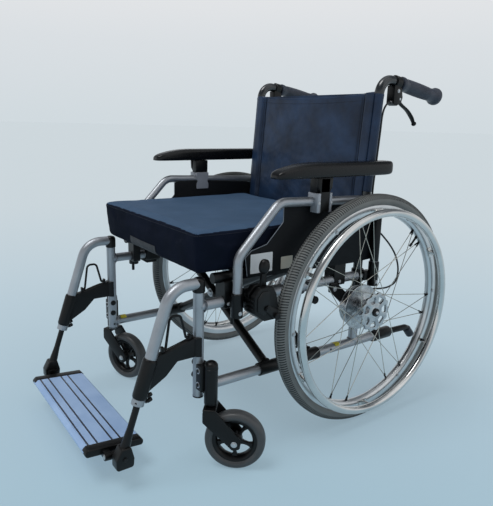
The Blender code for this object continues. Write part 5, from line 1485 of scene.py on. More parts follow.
@dataclass(frozen=True)
class Caster:
    """A swivel caster: bearing housing on the front post, fork, moulded rim and smooth grey tyre."""

    x: float = 0.2845
    y: float = -0.461
    radius: float = 0.07
    trail: float = 0.0575
    rim_r: float = 0.051
    gap: float = 0.022
    leg: float = 0.004
    spokes: int = 5
    left_turn: float = -41
    right_turn: float = 67
    bolt_zs: tuple = (0.232, 0.198)

    def build(self, repeat: Pattern) -> None:
        """Places housings, forks and wheels; each side stands the way it was left.

        Args:
            repeat: The tree that repeats a shape round an axle.
        """
        place_pair("caster_barrel", self.housing(), MOULDED, "frame", ["caster_housing"])
        flat = [(0, 0.0072), (0.0012, 0.007)]
        washers = [turned((0.266, -0.4836, z), (0, -1, 0), flat, 24) for z in self.bolt_zs]
        place_pair("caster_barrel_washers", washers, ZINC, "frame")
        head = [(0, 0.0044), (0.0022, 0.004), (0.0028, 0.0026)]
        heads = [turned((0.266, -0.4846, z), (0, -1, 0), head, 20) for z in self.bolt_zs]
        place_pair("caster_barrel_bolts", heads, POWDER, "frame")
        swivel = Matrix.Translation((self.x, self.y, 0))
        turns = {}
        for side, degrees in ((Side.LEFT, self.left_turn), (Side.RIGHT, self.right_turn)):
            turns[side] = swivel @ Matrix.Rotation(math.radians(degrees), 4, "Z") @ swivel.inverted()
        place_pair("caster_legs", self.fork(), MOULDED, "fork", ["caster_fork"], turns)
        place_pair("caster_axle", self.axle(), ZINC, "fork", (), turns)
        place_pair("caster_wheel", self.rim(repeat), MOULDED, "caster", ["caster_rim"], turns)
        band = ring(self.centre(), X_AXIS, self.tyre_profile(), 96)
        place_pair("caster_band", [band], CASTER_TYRE, "caster", ["caster_tyre"], turns)

    def centre(self) -> Vector:
        """The middle of the wheel before the caster is turned."""
        return Vector((self.x, self.y + self.trail, self.radius))

    def housing(self) -> list[Mesh]:
        """The bearing barrel with a domed cap, and the bracket that hugs the front post."""
        stations = [
            (0, 0.0142), (0.001, 0.0152), (0.003, 0.0155), (0.093, 0.0155), (0.096, 0.015), (0.0985, 0.0136),
            (0.1008, 0.0115), (0.1028, 0.0085), (0.1042, 0.005), (0.1049, 0.0015),
        ]
        barrel = turned((self.x, self.y, 0.154), Z_AXIS, stations, 40)
        bead = turned((self.x, self.y, 0.2385), Z_AXIS, cylinder(0.003, 0.0161, 0.0005, 0.0006), 40)
        bracket = slab(rectangle((0.248, 0.279), (-0.484, -0.456)), 0.003, 0.184, 0.246, 0.002, Along.Z)
        rib = rectangle((0.264, 0.269), (-0.4842, -0.4735))
        web = [plate(rib, low, low + 0.004, Along.Z) for low in (0.2125, 0.2405, 0.1855)]
        return [barrel, bead, bracket, *web]

    def fork(self) -> list[Mesh]:
        """The crown, two flat legs with rounded edges, and the stem's collar."""
        reach = self.gap + self.leg
        axle_y = self.y + self.trail
        crown = block(
            (self.x - reach, self.x + reach), (self.y - 0.015, self.y + 0.015), (0.144, 0.15), 0.0022, 3
        )
        outline = [
            (self.y - 0.015, 0.148), (self.y + 0.015, 0.148), (axle_y + 0.016, self.radius + 0.01),
            (axle_y + 0.013, self.radius - 0.012), (axle_y - 0.004, self.radius - 0.016),
            (axle_y - 0.016, self.radius - 0.004), (self.y - 0.015, 0.118),
        ]
        outline = rounded_outline(outline, 0.007, 6)
        lows = (self.x + self.gap, self.x - reach)
        legs = [eased(plate(outline, low, low + self.leg), 0.0012, 2, CORNERS_ABOVE) for low in lows]
        stem = [
            (0, 0.0125), (0.0025, 0.0125), (0.0035, 0.009), (0.0058, 0.009), (0.006, 0.006), (0.082, 0.006)
        ]
        return [crown, *legs, turned((self.x, self.y, 0.148), Z_AXIS, stem, 28)]

    def axle(self) -> list[Mesh]:
        """The wheel's bolt with a domed head and a nut."""
        y, z = self.y + self.trail, self.radius
        reach = self.gap + self.leg
        made = [turned((self.x - reach, y, z), X_AXIS, [(0, 0.004), (2 * reach, 0.004)], 20)]
        head = [(0, 0.0072), (0.0008, 0.0072), (0.001, 0.006), (0.0032, 0.0056), (0.004, 0.0036)]
        for way in (1, -1):
            made.append(turned((self.x + way * (reach - 0.0004), y, z), (way, 0, 0), head, 24))
        return made

    def rim(self, repeat: Pattern) -> list[Mesh]:
        """The moulded rim: a hoop, five pairs of ribs round open windows, and the hub."""
        centre = self.centre()
        half = self.gap - 0.0006
        hoop_half = [(-0.0132, self.rim_r), (-0.0132, 0.048), (-0.0105, 0.044), (-0.005, 0.0405)]
        hub_half = [
            (-half, 0.0046), (-half, 0.0105), (-half + 0.002, 0.012), (-0.008, 0.0138), (-0.006, 0.017),
        ]
        hoop_part, hub = (
            ring(centre, X_AXIS, part + [(-x, r) for x, r in part[::-1]], sides)
            for part, sides in ((hoop_half, 80), (hub_half, 40))
        )
        stations = (
            (0.0155, 0.005, 0.0058), (0.022, 0.0036, 0.0048), (0.032, 0.0036, 0.0046), (0.038, 0.0056, 0.005),
            (0.0418, 0.0085, 0.0056),
        )
        rings = []
        for r, wide, deep in stations:
            outline = rounded_outline(rectangle((-deep, deep), (-wide, wide)), 0.0014, 2)
            rings.append([Vector((u, v, r)) for u, v in outline])
        spokes = repeated(repeat, skin(rings), self.spokes, centre, MOULDED, math.pi / self.spokes)
        return [hoop_part, hub, spokes]

    def tyre_profile(self) -> list[Flat]:
        """A round solid tyre with a moulding line beside the rim."""
        half = [
            (0.013, self.rim_r + GAP), (0.0142, 0.0525), (0.0158, 0.0548), (0.0166, 0.057), (0.0169, 0.0598),
            (0.0163, 0.0628),
            (0.0148, 0.0656), (0.0125, 0.0678), (0.0095, 0.0692), (0.006, 0.0699), (0.001, self.radius),
        ]
        return [(-x, r) for x, r in half] + half[::-1]


@dataclass(frozen=True)
class Armrest:
    """The lift-out armrest: bent tube, height bracket, pad on its post, and the side panel."""

    front_y: float = -0.39
    rear_y: float = 0.062
    foot_z: float = 0.355
    top_z: float = 0.6
    bracket_y: float = -0.155
    bracket_z: tuple = (0.571, 0.617)
    pad_x: tuple = (0.2665, 0.3165)
    pad_y: tuple = (-0.308, 0.066)
    pad_z: tuple = (0.655, 0.69)
    panel_x: tuple = (0.2632, 0.2661)

    def build(self) -> None:
        """Places the armrests' pieces."""
        x = ARM_X
        corners = [
            (x, self.front_y, self.foot_z - 0.002), (x, self.front_y, 0.483), (x, -0.277, self.top_z),
            (x, self.rear_y, self.top_z - 0.012), (x, self.rear_y, self.foot_z),
        ]
        frame_tube = tube(rounded(corners, [0.04, 0.045, 0.032], 12), ARM_TUBE_R, 28)
        place_pair("arm_tube", [frame_tube], SATIN_TUBE, "armrest", ["armrest_tube"])
        place_pair("armrest_bracket", self.bracket(), BRACKET, "armrest")
        place_pair("armrest_bolts", self.bolts(), ZINC, "armrest")
        sleeve = turned((x, self.rear_y, 0.4195), Z_AXIS, cylinder(0.131, 0.0118, 0.001, 0.0006), 28)
        place_pair("armrest_rear_sleeve", [sleeve], MOULDED, "armrest")
        place_pair("pad_post", self.post(), MOULDED, "pad", ["armrest_post"])
        for piece in place_pair("foam_pad", [self.pad()], SKIN_FOAM, "pad", ["arm_pad"], round_below=60):
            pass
        self.build_panel()

    def bracket(self) -> list[Mesh]:
        """The folded bracket round the post, open towards it, with lips."""
        y = self.bracket_y
        low, high = self.bracket_z
        body = plate(
            rounded_outline(rectangle((0.272, 0.2995), (y - 0.024, y + 0.024)), 0.004), low, high, Along.Z
        )
        slot = block((0.2889, 0.31), (y - 0.015, y + 0.015), (low - 0.01, high + 0.01), 0.0003)
        half = [
            (0.022, high), (0.022, 0.606), (0.0185, 0.5995), (0.0185, 0.5885), (0.022, 0.582), (0.022, 0.566)
        ]
        inner = [(y + w, z) for w, z in half] + [(y - w, z) for w, z in half[::-1]]
        inner_plate = slab(inner, 0.0025, 0.2616, 0.263, 0.0004, steps=1)
        hook = block((0.262, 0.273), (y - 0.0215, y + 0.0215), (0.5935, high), 0.0008)
        return [eased(fuse([body], [slot]), 0.001, 2, CORNERS_ABOVE), inner_plate, hook]

    def bolts(self) -> list[Mesh]:
        """The two screws of the bracket."""
        made = []
        for dy in (-0.0195, 0.0195):
            made += hex_bolt((0.2992, self.bracket_y + dy, 0.594), X_AXIS, 0.0028, 0.0022)
        return made

    def post(self) -> list[Mesh]:
        """The flat post, and the shoulder and the web under the pad."""
        y = self.bracket_y
        top = self.pad_z[0] - GAP
        blade = block(
            (0.2893, 0.2985), (y - 0.0146, y + 0.0146), (self.bracket_z[0] + 0.001, top - 0.002), 0.0016, 3
        )
        outline = [
            (y - 0.024, top), (y + 0.024, top), (y + 0.022, 0.63), (y + 0.0152, 0.6185), (y - 0.0152, 0.6185),
            (y - 0.022, 0.63),
        ]
        shoulder = slab(outline, 0.003, 0.2893, 0.2985, 0.0012)
        web = block((0.2665, 0.2896), (y - 0.0215, y + 0.0215), (self.bracket_z[1] + GAP, top), 0.0012)
        return [blade, shoulder, web]

    def pad(self) -> Mesh:
        """A moulded pad: crowned top with crisp edges, and a nose that slopes down to the flat underside."""
        stations = (
            (0.0, 0.42, 0.16), (0.0012, 0.54, 0.26), (0.004, 0.66, 0.37), (0.009, 0.77, 0.47),
            (0.017, 0.86, 0.57),
            (0.03, 0.93, 0.68), (0.048, 0.97, 0.8), (0.068, 1, 0.9), (0.09, 1, 0.965), (0.115, 1, 1),
            (0.22, 1, 1), (0.31, 1, 1), (0.345, 0.995, 1), (0.36, 0.97, 0.98), (0.368, 0.92, 0.93),
            (0.3715, 0.85, 0.85), (0.3733, 0.74, 0.72), (0.374, 0.56, 0.5),
        )
        middle = (self.pad_x[0] + self.pad_x[1]) / 2
        half = (self.pad_x[1] - self.pad_x[0]) / 2
        height = self.pad_z[1] - self.pad_z[0]
        rings = []
        for along, wide, tall in stations:
            w = half * wide
            if along < 0.2:
                bottom = self.pad_z[0] + 0.0015 * (1 - wide)
                top = bottom + height * tall
            else:
                top = self.pad_z[1] - 0.004 * (1 - tall)
                bottom = max(top - height * tall, self.pad_z[0])
            rings.append(self.section(middle, w, bottom, top, self.pad_y[0] + along))
        return skin(rings)

    def section(self, middle: float, w: float, bottom: float, top: float, y: float) -> list[Vector]:
        """One rounded section of the pad."""
        points = []
        tall = top - bottom
        for i in range(36):
            t = 2 * math.pi * (i + 0.5) / 36
            c, s = math.cos(t), math.sin(t)
            u = w * math.copysign(abs(c) ** (0.36 if s > 0 else 0.24), c)
            if s > 0:
                u *= 1 - 0.1 * s
            v = (bottom + top) / 2 + tall / 2 * math.copysign(abs(s) ** (0.5 if s > 0 else 0.35), s)
            points.append(Vector((middle + u, y, v)))
        return points

    def build_panel(self) -> None:
        """The side panel with its piped front edge and its bare labels."""
        low, high = self.panel_x
        outline = [
            (-0.254, 0.592), (-0.254, 0.551), (-0.301, 0.503), (-0.345, 0.492), (-0.363, 0.478),
            (-0.356, 0.432),
            (-0.3, 0.426), (0.0, 0.42), (0.078, 0.424), (0.09, 0.44), (0.09, 0.52), (0.076, 0.56),
            (0.05, 0.576),
            (0.02, 0.582), (-0.155, 0.592),
        ]
        panel = eased(plate(rounded_outline(outline, 0.006), low, high), 0.0008, 2, 60)
        place_pair("panel", [panel], PANEL, "armrest", ["side_panel"])
        front = (
            (-0.2545, 0.59), (-0.2545, 0.551), (-0.3015, 0.5025), (-0.345, 0.492), (-0.362, 0.478),
            (-0.3555, 0.433),
        )
        edge = rounded([(high, y, z) for y, z in front], 0.006, 5)
        place_pair("panel_piping", [tube(edge, 0.0009, 10)], PIPING, "armrest")
        labels = {
            "left_panel_label": ((-0.347, -0.283), (0.437, 0.483), LABEL_WHITE),
            "left_panel_small_label": ((-0.257, -0.221), (0.437, 0.467), LABEL_BEIGE),
        }
        for name, (y, z, finish) in labels.items():
            sheet = plate(rounded_outline(rectangle(y, z), 0.002), high - 0.0001, high + 0.0004)
            place(name, [sheet], finish, "left_armrest")


@dataclass(frozen=True)
class Legrest:
    """The swing-away legrest: bent tube on its pivot cap, catch arm, clamp sleeve, release loop and stem."""

    x: float = 0.2535
    top_z: float = 0.431
    radius: float = 0.013
    foot_z: float = 0.188
    stem_r: float = 0.0075
    stem_top: float = 0.224
    loop_front: Vector = Vector((FRAME_X, -0.556, 0.2975))
    loop_rear: Vector = Vector((FRAME_X, -0.506, 0.3105))

    def on_line(self, z: float) -> Vector:
        """The point on the straight part of the tube at a height."""
        direction = Vector((0, -0.3162, -0.9487))
        return Vector((self.x, -0.559, 0.387)) + (z - 0.387) / direction.z * direction

    def sleeve(self, heights: Sequence[float], radii: Sequence[float], sides: int) -> Mesh:
        """A bar along the straight part of the tube, with a radius at each height."""
        return tube([self.on_line(z) for z in heights], radii, sides)

    def build(self) -> None:
        """Places tubes, black parts, loops, stems and elbows."""
        corner = self.on_line(self.top_z)
        corners = [
            (FRAME_X, FRONT_POST_Y + 0.004, self.top_z), (self.x, corner.y, corner.z),
            self.on_line(self.foot_z),
        ]
        bar = tube(rounded(corners, 0.055, 16), self.radius, 28)
        place_pair("hanger_tube", [bar], SATIN_TUBE, "legrest", ["legrest_hanger"])
        place_pair("legrest_fittings", self.fittings(), MOULDED, "legrest")
        ferrule = self.sleeve((0.1995, 0.199, 0.1862, 0.1855), (0.0132, 0.0142, 0.0142, 0.0132), 28)
        place_pair("legrest_ferrule", [ferrule], SATIN_TUBE, "legrest")
        # A dark disc on the ferrule: painted shade inside its hole
        spot = self.on_line(0.1945) + Vector((0.0095, -0.0105, 0))
        hole = turned(spot, (0.66, -0.75, 0), [(-0.001, 0.0026), (0.0006, 0.0024)], 16)
        place_pair("ferrule_hole", [hole], HOLE_SHADE, "legrest")
        place_pair("loop", [self.loop()], MOULDED, "release", ["release_loop"])
        self.build_stems()

    def fittings(self) -> list[Mesh]:
        """Cap and pin of the pivot, catch arm with its jaw, clamp sleeve and the stem's two knobs."""
        stations = [
            (0, 0.0134), (0.001, 0.0142), (0.024, 0.0142), (0.028, 0.0132), (0.031, 0.011), (0.0328, 0.0075),
            (0.0333, 0.003),
        ]
        cap = turned((FRAME_X, FRONT_POST_Y, FRONT_POST_TOP + GAP), Z_AXIS, stations)
        pin = turned((FRAME_X, FRONT_POST_Y, 0.37), Z_AXIS, [(0, 0.0075), (0.001, 0.0086), (0.05, 0.0086)])
        heights = (0.2835, 0.281, 0.278, 0.206, 0.202, 0.2)
        sleeve = self.sleeve(heights, (0.014, 0.0158, 0.0165, 0.0165, 0.016, 0.0148), 32)
        outline = [
            (-0.486, 0.309), (-0.486, 0.264), (-0.532, 0.264), (-0.56, 0.236), (-0.612, 0.206), (-0.6, 0.282),
            (-0.56, 0.29), (-0.52, 0.3),
        ]
        arm = plate(rounded_outline(outline, 0.005), FRAME_X - 0.0075, FRAME_X + 0.009)
        jaw = turned((FRAME_X, FRONT_POST_Y, 0.264), Z_AXIS, cylinder(0.045, 0.0175), 40)
        post = turned((FRAME_X, FRONT_POST_Y, 0.25), Z_AXIS, [(0, 0.0131), (0.08, 0.0131)], 40)
        behind = block((0.2, 0.3), (FRONT_POST_Y - 0.001, FRONT_POST_Y + 0.03), (0.25, 0.33), 0.0001, 1)
        held = eased(fuse([arm, jaw], [post, behind]), 0.0018, 3, 45)
        crest = ((-0.4975, 0.3015), (-0.52, 0.2965), (-0.545, 0.2895), (-0.566, 0.283))
        spine = smooth_route([Vector((FRAME_X + 0.003, y, z)) for y, z in crest], 4)
        ridge = tube(spine, [0.0035, 0.0056] + [0.0064] * (len(spine) - 4) + [0.0056, 0.0035], 20)
        lugs = []
        line = Vector((0, 0.05, 0.013)).normalized()
        for foot, way, low in ((self.loop_front, -1, 0.281), (self.loop_rear, 1, 0.299)):
            spots = [foot + way * d * line for d in (0.0055, 0.0115)]
            y = sorted(p.y for p in spots)
            lugs.append(block((FRAME_X - 0.0055, FRAME_X + 0.0055), y, (low, spots[0].z + 0.006), 0.0012))
        knob_at = self.on_line(0.199) + Vector((0.004, 0.012, 0))
        stations = [(0, 0.003), (0.004, 0.0034), (0.006, 0.0048), (0.014, 0.0048), (0.0165, 0.0034)]
        knobs = []
        for dz in (0.001, -0.0105):
            knobs.append(turned(knob_at + Vector((0, 0, dz)), (0, 0.016, 0.005), stations, 20))
        return [cap, pin, sleeve, held, ridge, *lugs, *knobs]

    def loop(self) -> Mesh:
        """The bent rod whose ends turn outwards into the arm's lugs."""
        front, rear = self.loop_front, self.loop_rear
        reach = 0.011 * (rear - front).normalized()
        corners = [
            front - reach, front, (FRAME_X, -0.546, 0.366), (FRAME_X, -0.52, 0.366), rear, rear + reach
        ]
        return tube(rounded(corners, [0.004, 0.011, 0.011, 0.004], 8), 0.003, 16)

    def build_stems(self) -> None:
        """The stems and wedge-clamp elbows, and on the right the shelf for the footplate's free end."""
        heights = (self.stem_top, 0.137, 0.128, 0.112, 0.09)
        slide = self.sleeve(heights, (self.stem_r, self.stem_r, 0.0082, 0.0097, 0.0115), 28)
        y, z = BOARD_Y, BOARD_Z + 0.013
        outline = [
            (y - 0.021, z - 0.03), (y + 0.018, z - 0.03), (y + 0.02, z - 0.01), (y + 0.013, z + 0.018),
            (y - 0.008, z + 0.018), (y - 0.021, z - 0.006),
        ]
        elbow = slab(outline, 0.006, 0.2405, 0.269, 0.003, steps=3)
        tilt = board_tilt()
        hinge = Vector((0.222, y, 0.064))
        barrel = turned(hinge - Vector((0, 0.0135, 0)), Y_AXIS, cylinder(0.027, 0.009, 0.0008, 0.0008))
        neck = block(
            (hinge.x + 0.003, 0.246), (y - 0.0125, y + 0.0125), (hinge.z - 0.0075, hinge.z + 0.0065), 0.0015
        )
        left = [slide, elbow, moved(barrel, tilt), moved(neck, tilt)]
        place("left_stem_tube", left, MOULDED, "left_stem", ["left_footrest_stem"])
        under = BOARD_Z - 0.009 - GAP
        shelf = block((0.188, 0.246), (y - 0.018, y + 0.018), (under - 0.008, under), 0.002)
        prop = block((0.236, 0.258), (y - 0.014, y + 0.014), (under - 0.007, under + 0.016), 0.002)
        right = [slide, elbow, moved(shelf, tilt), moved(prop, tilt)]
        place("right_stem_tube", right, MOULDED, "right_stem", ["right_footrest_stem"], mirror=True)
        bolts = hex_bolt((0.2688, y - 0.002, z - 0.006), X_AXIS, 0.0048, 0.0036)
        place_pair("elbow_bolts", bolts, POWDER, "stem")


@dataclass(frozen=True)
class Footplate:
    """One wide board with a rounded nose, black inlaid strips, end caps and the hinge ears."""

    centre: Vector = Vector((0, BOARD_Y, BOARD_Z))
    half_w: float = 0.194
    depth: float = 0.137
    thick: float = 0.016
    cap_x: float = 0.207
    hinge_x: float = 0.222
    grooves: tuple = (-0.052, -0.031, 0.003, 0.022)

    def build(self) -> None:
        """Places board, strips, caps and ears on the board's own body."""
        cy, cz = self.centre.yz
        half, t = self.depth / 2, self.thick / 2
        tilt = board_tilt()
        outline = [
            (cy - half + 0.01, cz + t), (cy + half - 0.006, cz + t), (cy + half, cz + t - 0.006),
            (cy + half, cz - t),
            (cy - half + 0.008, cz - t), (cy - half, cz - 0.002),
        ]
        board = plate(rounded_outline(outline, 0.004, 6), -self.half_w, self.half_w)
        cuts, strips = [], []
        floor, end = cz + t - 0.0022, self.half_w - 0.002
        for g in self.grooves:
            cuts.append(
                block((-0.3, 0.3), (cy + g - 0.0022, cy + g + 0.0022), (floor, cz + t + 0.01), 0.0002, 1)
            )
            strips.append(
                block((-end, end), (cy + g - 0.002, cy + g + 0.002), (floor, cz + t + 0.0003), 0.0006)
            )
        # The board's blue tint is painted sky reflection over its anodised grey
        place("board", [fuse([board], cuts)], BOARD, "footboard", ["footplate"], turn=tilt)
        place("footplate_strips", strips, GRIP, "footboard", turn=tilt)
        wide = [(cy + (y - cy) * 1.012, cz + (z - cz) * 1.12) for y, z in rounded_outline(outline, 0.006, 6)]
        caps = []
        for way in (1, -1):
            ends = sorted((way * (self.half_w - 0.012), way * self.cap_x))
            caps.append(eased(plate(wide, *ends), 0.003, 4, 60))
        hinge = Vector((self.hinge_x, cy, cz - 0.005))
        for way in (1, -1):
            y = sorted((cy + way * 0.0145, cy + way * 0.03))
            ear = cylinder(0.0155, 0.009, 0.0008, 0.0008)
            caps.append(turned((hinge.x, y[0], hinge.z), Y_AXIS, ear))
            caps.append(block((0.202, hinge.x), y, (hinge.z - 0.006, hinge.z + 0.0085), 0.001))
        place("footplate_caps", caps, MOULDED, "footboard", turn=tilt)
        stations = [(0, 0.004), (0.0008, 0.0056), (0.0016, 0.0056), (0.0018, 0.0045), (0.061, 0.0045)]
        pin = turned((hinge.x, cy - 0.0315, hinge.z), Y_AXIS, stations, 24)
        place("footplate_pin", [pin], ZINC, "footboard", turn=tilt)


@dataclass(frozen=True)
class CrossBraces:
    """Two crossed pairs of black tubes on one bolt, with sleeves on the lower rails and seat rails on top."""

    radius: float = 0.0121
    sleeve_r: float = 0.0162
    ys: tuple = ((-0.273, -0.134), (-0.245, -0.162))
    sleeves: tuple = ((-0.302, -0.2315), (-0.189, -0.106))
    rail_y: tuple = (-0.433, 0.004)

    def build(self) -> None:
        """Places both braces and the bolt."""
        for name, side, ys in (("a", 1, self.ys[0]), ("b", -1, self.ys[1])):
            foot = Vector((side * FRAME_X, 0, LOWER_RAIL_Z))
            head = Vector((-side * SEAT_RAIL_X, 0, SEAT_RAIL_Z))
            front, rear = self.rail_y
            rail = [head + Vector((0, y, 0)) for y in (front, front + 0.001, rear - 0.001, rear)]
            made = [tube(rail, [0.0115, TUBE_R, TUBE_R, 0.0115], 28)]
            for y in ys:
                shift = Vector((0, y, 0))
                made.append(tube([foot + shift, head + shift], self.radius, 28))
                line = (head - foot).normalized()
                for spot, way, r in ((foot, 1, self.sleeve_r), (head, -1, TUBE_R)):
                    weld = spot + shift + way * (r - 0.001) * line
                    made.append(turned(weld, way * line, [(0, 0.0156), (0.002, 0.0145), (0.005, 0.012)], 28))
            for low, high in self.sleeves:
                profile = [(0, 0.013), *cylinder(high - low, self.sleeve_r), (high - low, 0.013)]
                made.append(ring(foot + Vector((0, low, 0)), Y_AXIS, profile, 36))
            place(f"brace_tubes_{name}", made, POWDER, f"brace_{name}", [f"cross_brace_{name}"])
        slope = (SEAT_RAIL_Z - LOWER_RAIL_Z) / (FRAME_X + SEAT_RAIL_X)
        z = LOWER_RAIL_Z + slope * FRAME_X
        bolt = [turned((0, -0.292, z), Y_AXIS, [(0, 0.0045), (0.177, 0.0045)], 24)]
        bolt += hex_bolt((0, -0.2855, z), (0, -1, 0), 0.0088, 0.006)
        bolt += hex_bolt((0, -0.1215, z), Y_AXIS, 0.0088, 0.006)
        place("brace_bolt", bolt, ZINC, "brace_a")


@dataclass(frozen=True)
class SeatSling:
    """The fabric seat: a hemmed cloth stretched between the seat rails, looped round them."""

    thick: float = 0.0016
    y: tuple = (-0.384, -0.076)

    def build(self) -> None:
        """Places the cloth."""
        outer = TUBE_R + GAP + self.thick
        line = []
        for i in range(5):
            t = math.pi / 2 - (4 - i) * math.radians(33)
            line.append((-SEAT_RAIL_X - outer * math.cos(t), SEAT_RAIL_Z + outer * math.sin(t)))
        for i in range(1, 24):
            x = -SEAT_RAIL_X + 2 * SEAT_RAIL_X * i / 24
            sag = 0.012 * (1 - (x / SEAT_RAIL_X) ** 2)
            line.append((x, SEAT_RAIL_Z + outer - sag))
        line += [(-x, z) for x, z in line[4::-1]]
        under = []
        for i, (x, z) in enumerate(line):
            before, after = line[max(i - 1, 0)], line[min(i + 1, len(line) - 1)]
            run = Vector((after[0] - before[0], after[1] - before[1])).normalized()
            under.append((x + run.y * self.thick, z - run.x * self.thick))
        cloth = plate(line + under[::-1], *self.y, Along.Y)
        piece = place("sling", [cloth], WEBBING_AND_SEAM_SHADE, None, ["seat_sling"])
        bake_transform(piece)


@dataclass(frozen=True)
class SeatCushion:
    """The box cushion in navy nylon: foam that crowns its top and pulls its sides in between the corners."""

    half_w: float = 0.2595
    front_y: float = -0.4895
    rear_y: float = 0.0135
    bottom: float = 0.447
    top: float = 0.5475
    corner_r: float = 0.016
    voxel: float = 0.005
    cap: float = 0.004
    pressure: float = 4.0
    frames: int = 18
    edge: float = 0.0065

    def ring_at(self, inset: float, z: float, steps: int, along: int) -> list[Vector]:
        """One level of the cushion: a rectangle with arcs at its corners.

        Args:
            inset: How far it lies inside the cushion's plan.
            z: Its height.
            steps: The faces of each arc.
            along: The faces of each straight side.

        Returns:
            The points of the level.
        """
        half_d = (self.rear_y - self.front_y) / 2
        middle = (self.rear_y + self.front_y) / 2
        arc = max(self.corner_r - inset, 0.006)
        points = []
        for cx, cy, start in ((1, 1, 0), (-1, 1, 90), (-1, -1, 180), (1, -1, 270)):
            for i in range(steps + 1):
                t = math.radians(start + 90 * i / steps)
                x = cx * (self.half_w - inset - arc) + arc * math.cos(t)
                y = cy * (half_d - inset - arc) + arc * math.sin(t)
                points.append(Vector((x, middle + y, z)))
        full = []
        for i, point in enumerate(points, 1):
            full.append(point)
            if i % (steps + 1) == 0:
                after = points[i % len(points)]
                full += [point.lerp(after, k / along) for k in range(1, along)]
        return full

    def build(self, rows: Pattern) -> None:
        """Shapes the cushion, blows it up a little, and places it with its seams.

        Args:
            rows: The tree that lays stitches along a path.
        """
        low, high = self.bottom, self.top
        levels = [
            (0.236, low + 0.002), (0.185, low + 0.002), (0.13, low + 0.002), (0.07, low + 0.0016),
            (0.024, low + 0.001), (0.016, low + 0.003),
            (0.0125, low + 0.008), (0.011, low + 0.016), (0.0085, low + 0.034), (0.0062, low + 0.056),
            (0.0046, high - 0.026), (0.0036, high - 0.012), (0.0038, high - 0.0072), (0.0056, high - 0.0046),
            (0.0095, high - 0.0034), (0.022, high - 0.0024), (0.06, high - 0.0012), (0.13, high - 0.0008),
            (0.185, high - 0.0006), (0.236, high - 0.0006),
        ]
        mesh = skin([self.ring_at(inset, z, 6, 24) for inset, z in levels])
        mesh = self.swollen(mesh)
        self.crease(mesh)
        shape = bmesh.new()
        shape.from_mesh(mesh)
        skin_tree = BVHTree.FromBMesh(shape)
        shape.free()
        piece = place("cushion", [mesh], CUSHION, None, ["seat_cushion"], round_below=70)
        # The faces below the top's edge take the darker border: painted shade on the cushion's sides
        piece.data.materials.append(BORDER_PAINTED_SHADE.material())
        for face in piece.data.polygons:
            face.material_index = int(face.center.z < high - self.edge)
        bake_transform(piece)
        path = [skin_tree.find_nearest(p)[0] for p in self.ring_at(-0.004, high - 0.011, 8, 14)]
        seams = place("cushion_stitches", [stitched(rows, path + path[:1], 0.0052)], THREAD, None)
        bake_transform(seams)
        tag_piece = place("cushion_tag", [self.tag(skin_tree)], MESH_TAG, None)
        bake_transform(tag_piece)

    def tag(self, skin_tree: BVHTree) -> Mesh:
        """A mesh tag that lies on the bulge of the cushion's front.

        Args:
            skin_tree: The cushion's faces, to find its front with.

        Returns:
            The tag as a thin closed shell.
        """
        rings = []
        for x in np.linspace(-0.087, 0.06, 36):
            front = []
            for z in np.linspace(self.bottom + 0.0065, self.bottom + 0.03, 8):
                hit = skin_tree.ray_cast(Vector((x, -1, z)), Vector(Y_AXIS))[0]
                front.append(Vector((x, hit.y, z)))
            rings.append(
                [p - Vector((0, 0.0016, 0)) for p in front] + [p + Vector((0, 0.001, 0)) for p in front[::-1]]
            )
        return skin(rings)

    def swollen(self, mesh: Mesh) -> Mesh:
        """Runs the cloth with a little pressure, keeps each point within the cap, and smooths once.

        Args:
            mesh: The plain cushion.

        Returns:
            The swollen cushion, finely divided.
        """
        body = bpy.data.objects.new("cloth", mesh)
        bpy.context.scene.collection.objects.link(body)
        remesh = body.modifiers.new("remesh", "REMESH")
        remesh.mode = "VOXEL"
        remesh.voxel_size = self.voxel
        bpy.context.view_layer.update()
        fine = evaluated(body)
        body.modifiers.clear()
        body.data = fine
        start = vertex_array(fine)
        pinned = body.vertex_groups.new(name="pinned")
        flat = [i for i, p in enumerate(start) if p[2] < self.bottom + 0.004]
        pinned.add(flat, 1.0, "REPLACE")
        cloth = body.modifiers.new("cloth", "CLOTH")
        cloth.settings.use_pressure = True
        cloth.settings.uniform_pressure_force = self.pressure
        cloth.settings.vertex_group_mass = "pinned"
        cloth.settings.effector_weights.gravity = 0
        cloth.settings.quality = 4
        scene = bpy.context.scene
        for step in range(1, self.frames + 1):
            scene.frame_set(step)
        blown = evaluated(body)
        end = vertex_array(blown)
        scene.frame_set(1)
        shift = end - start
        length = np.linalg.norm(shift, axis=1, keepdims=True)
        shift *= np.minimum(1.0, self.cap / np.maximum(length, 1e-9))
        half_d, middle = (self.rear_y - self.front_y) / 2, (self.rear_y + self.front_y) / 2
        corner = np.hypot(self.half_w - np.abs(start[:, 0]), half_d - np.abs(start[:, 1] - middle))
        shift *= np.clip((corner - 0.012) / 0.06, 0, 1)[:, None]
        fine.vertices.foreach_set("co", (start + shift).astype(np.float32).ravel())
        body.modifiers.clear()
        divide = body.modifiers.new("divide", "SUBSURF")
        divide.levels = 1
        bpy.context.view_layer.update()
        made = evaluated(body)
        bpy.data.objects.remove(body)
        return made

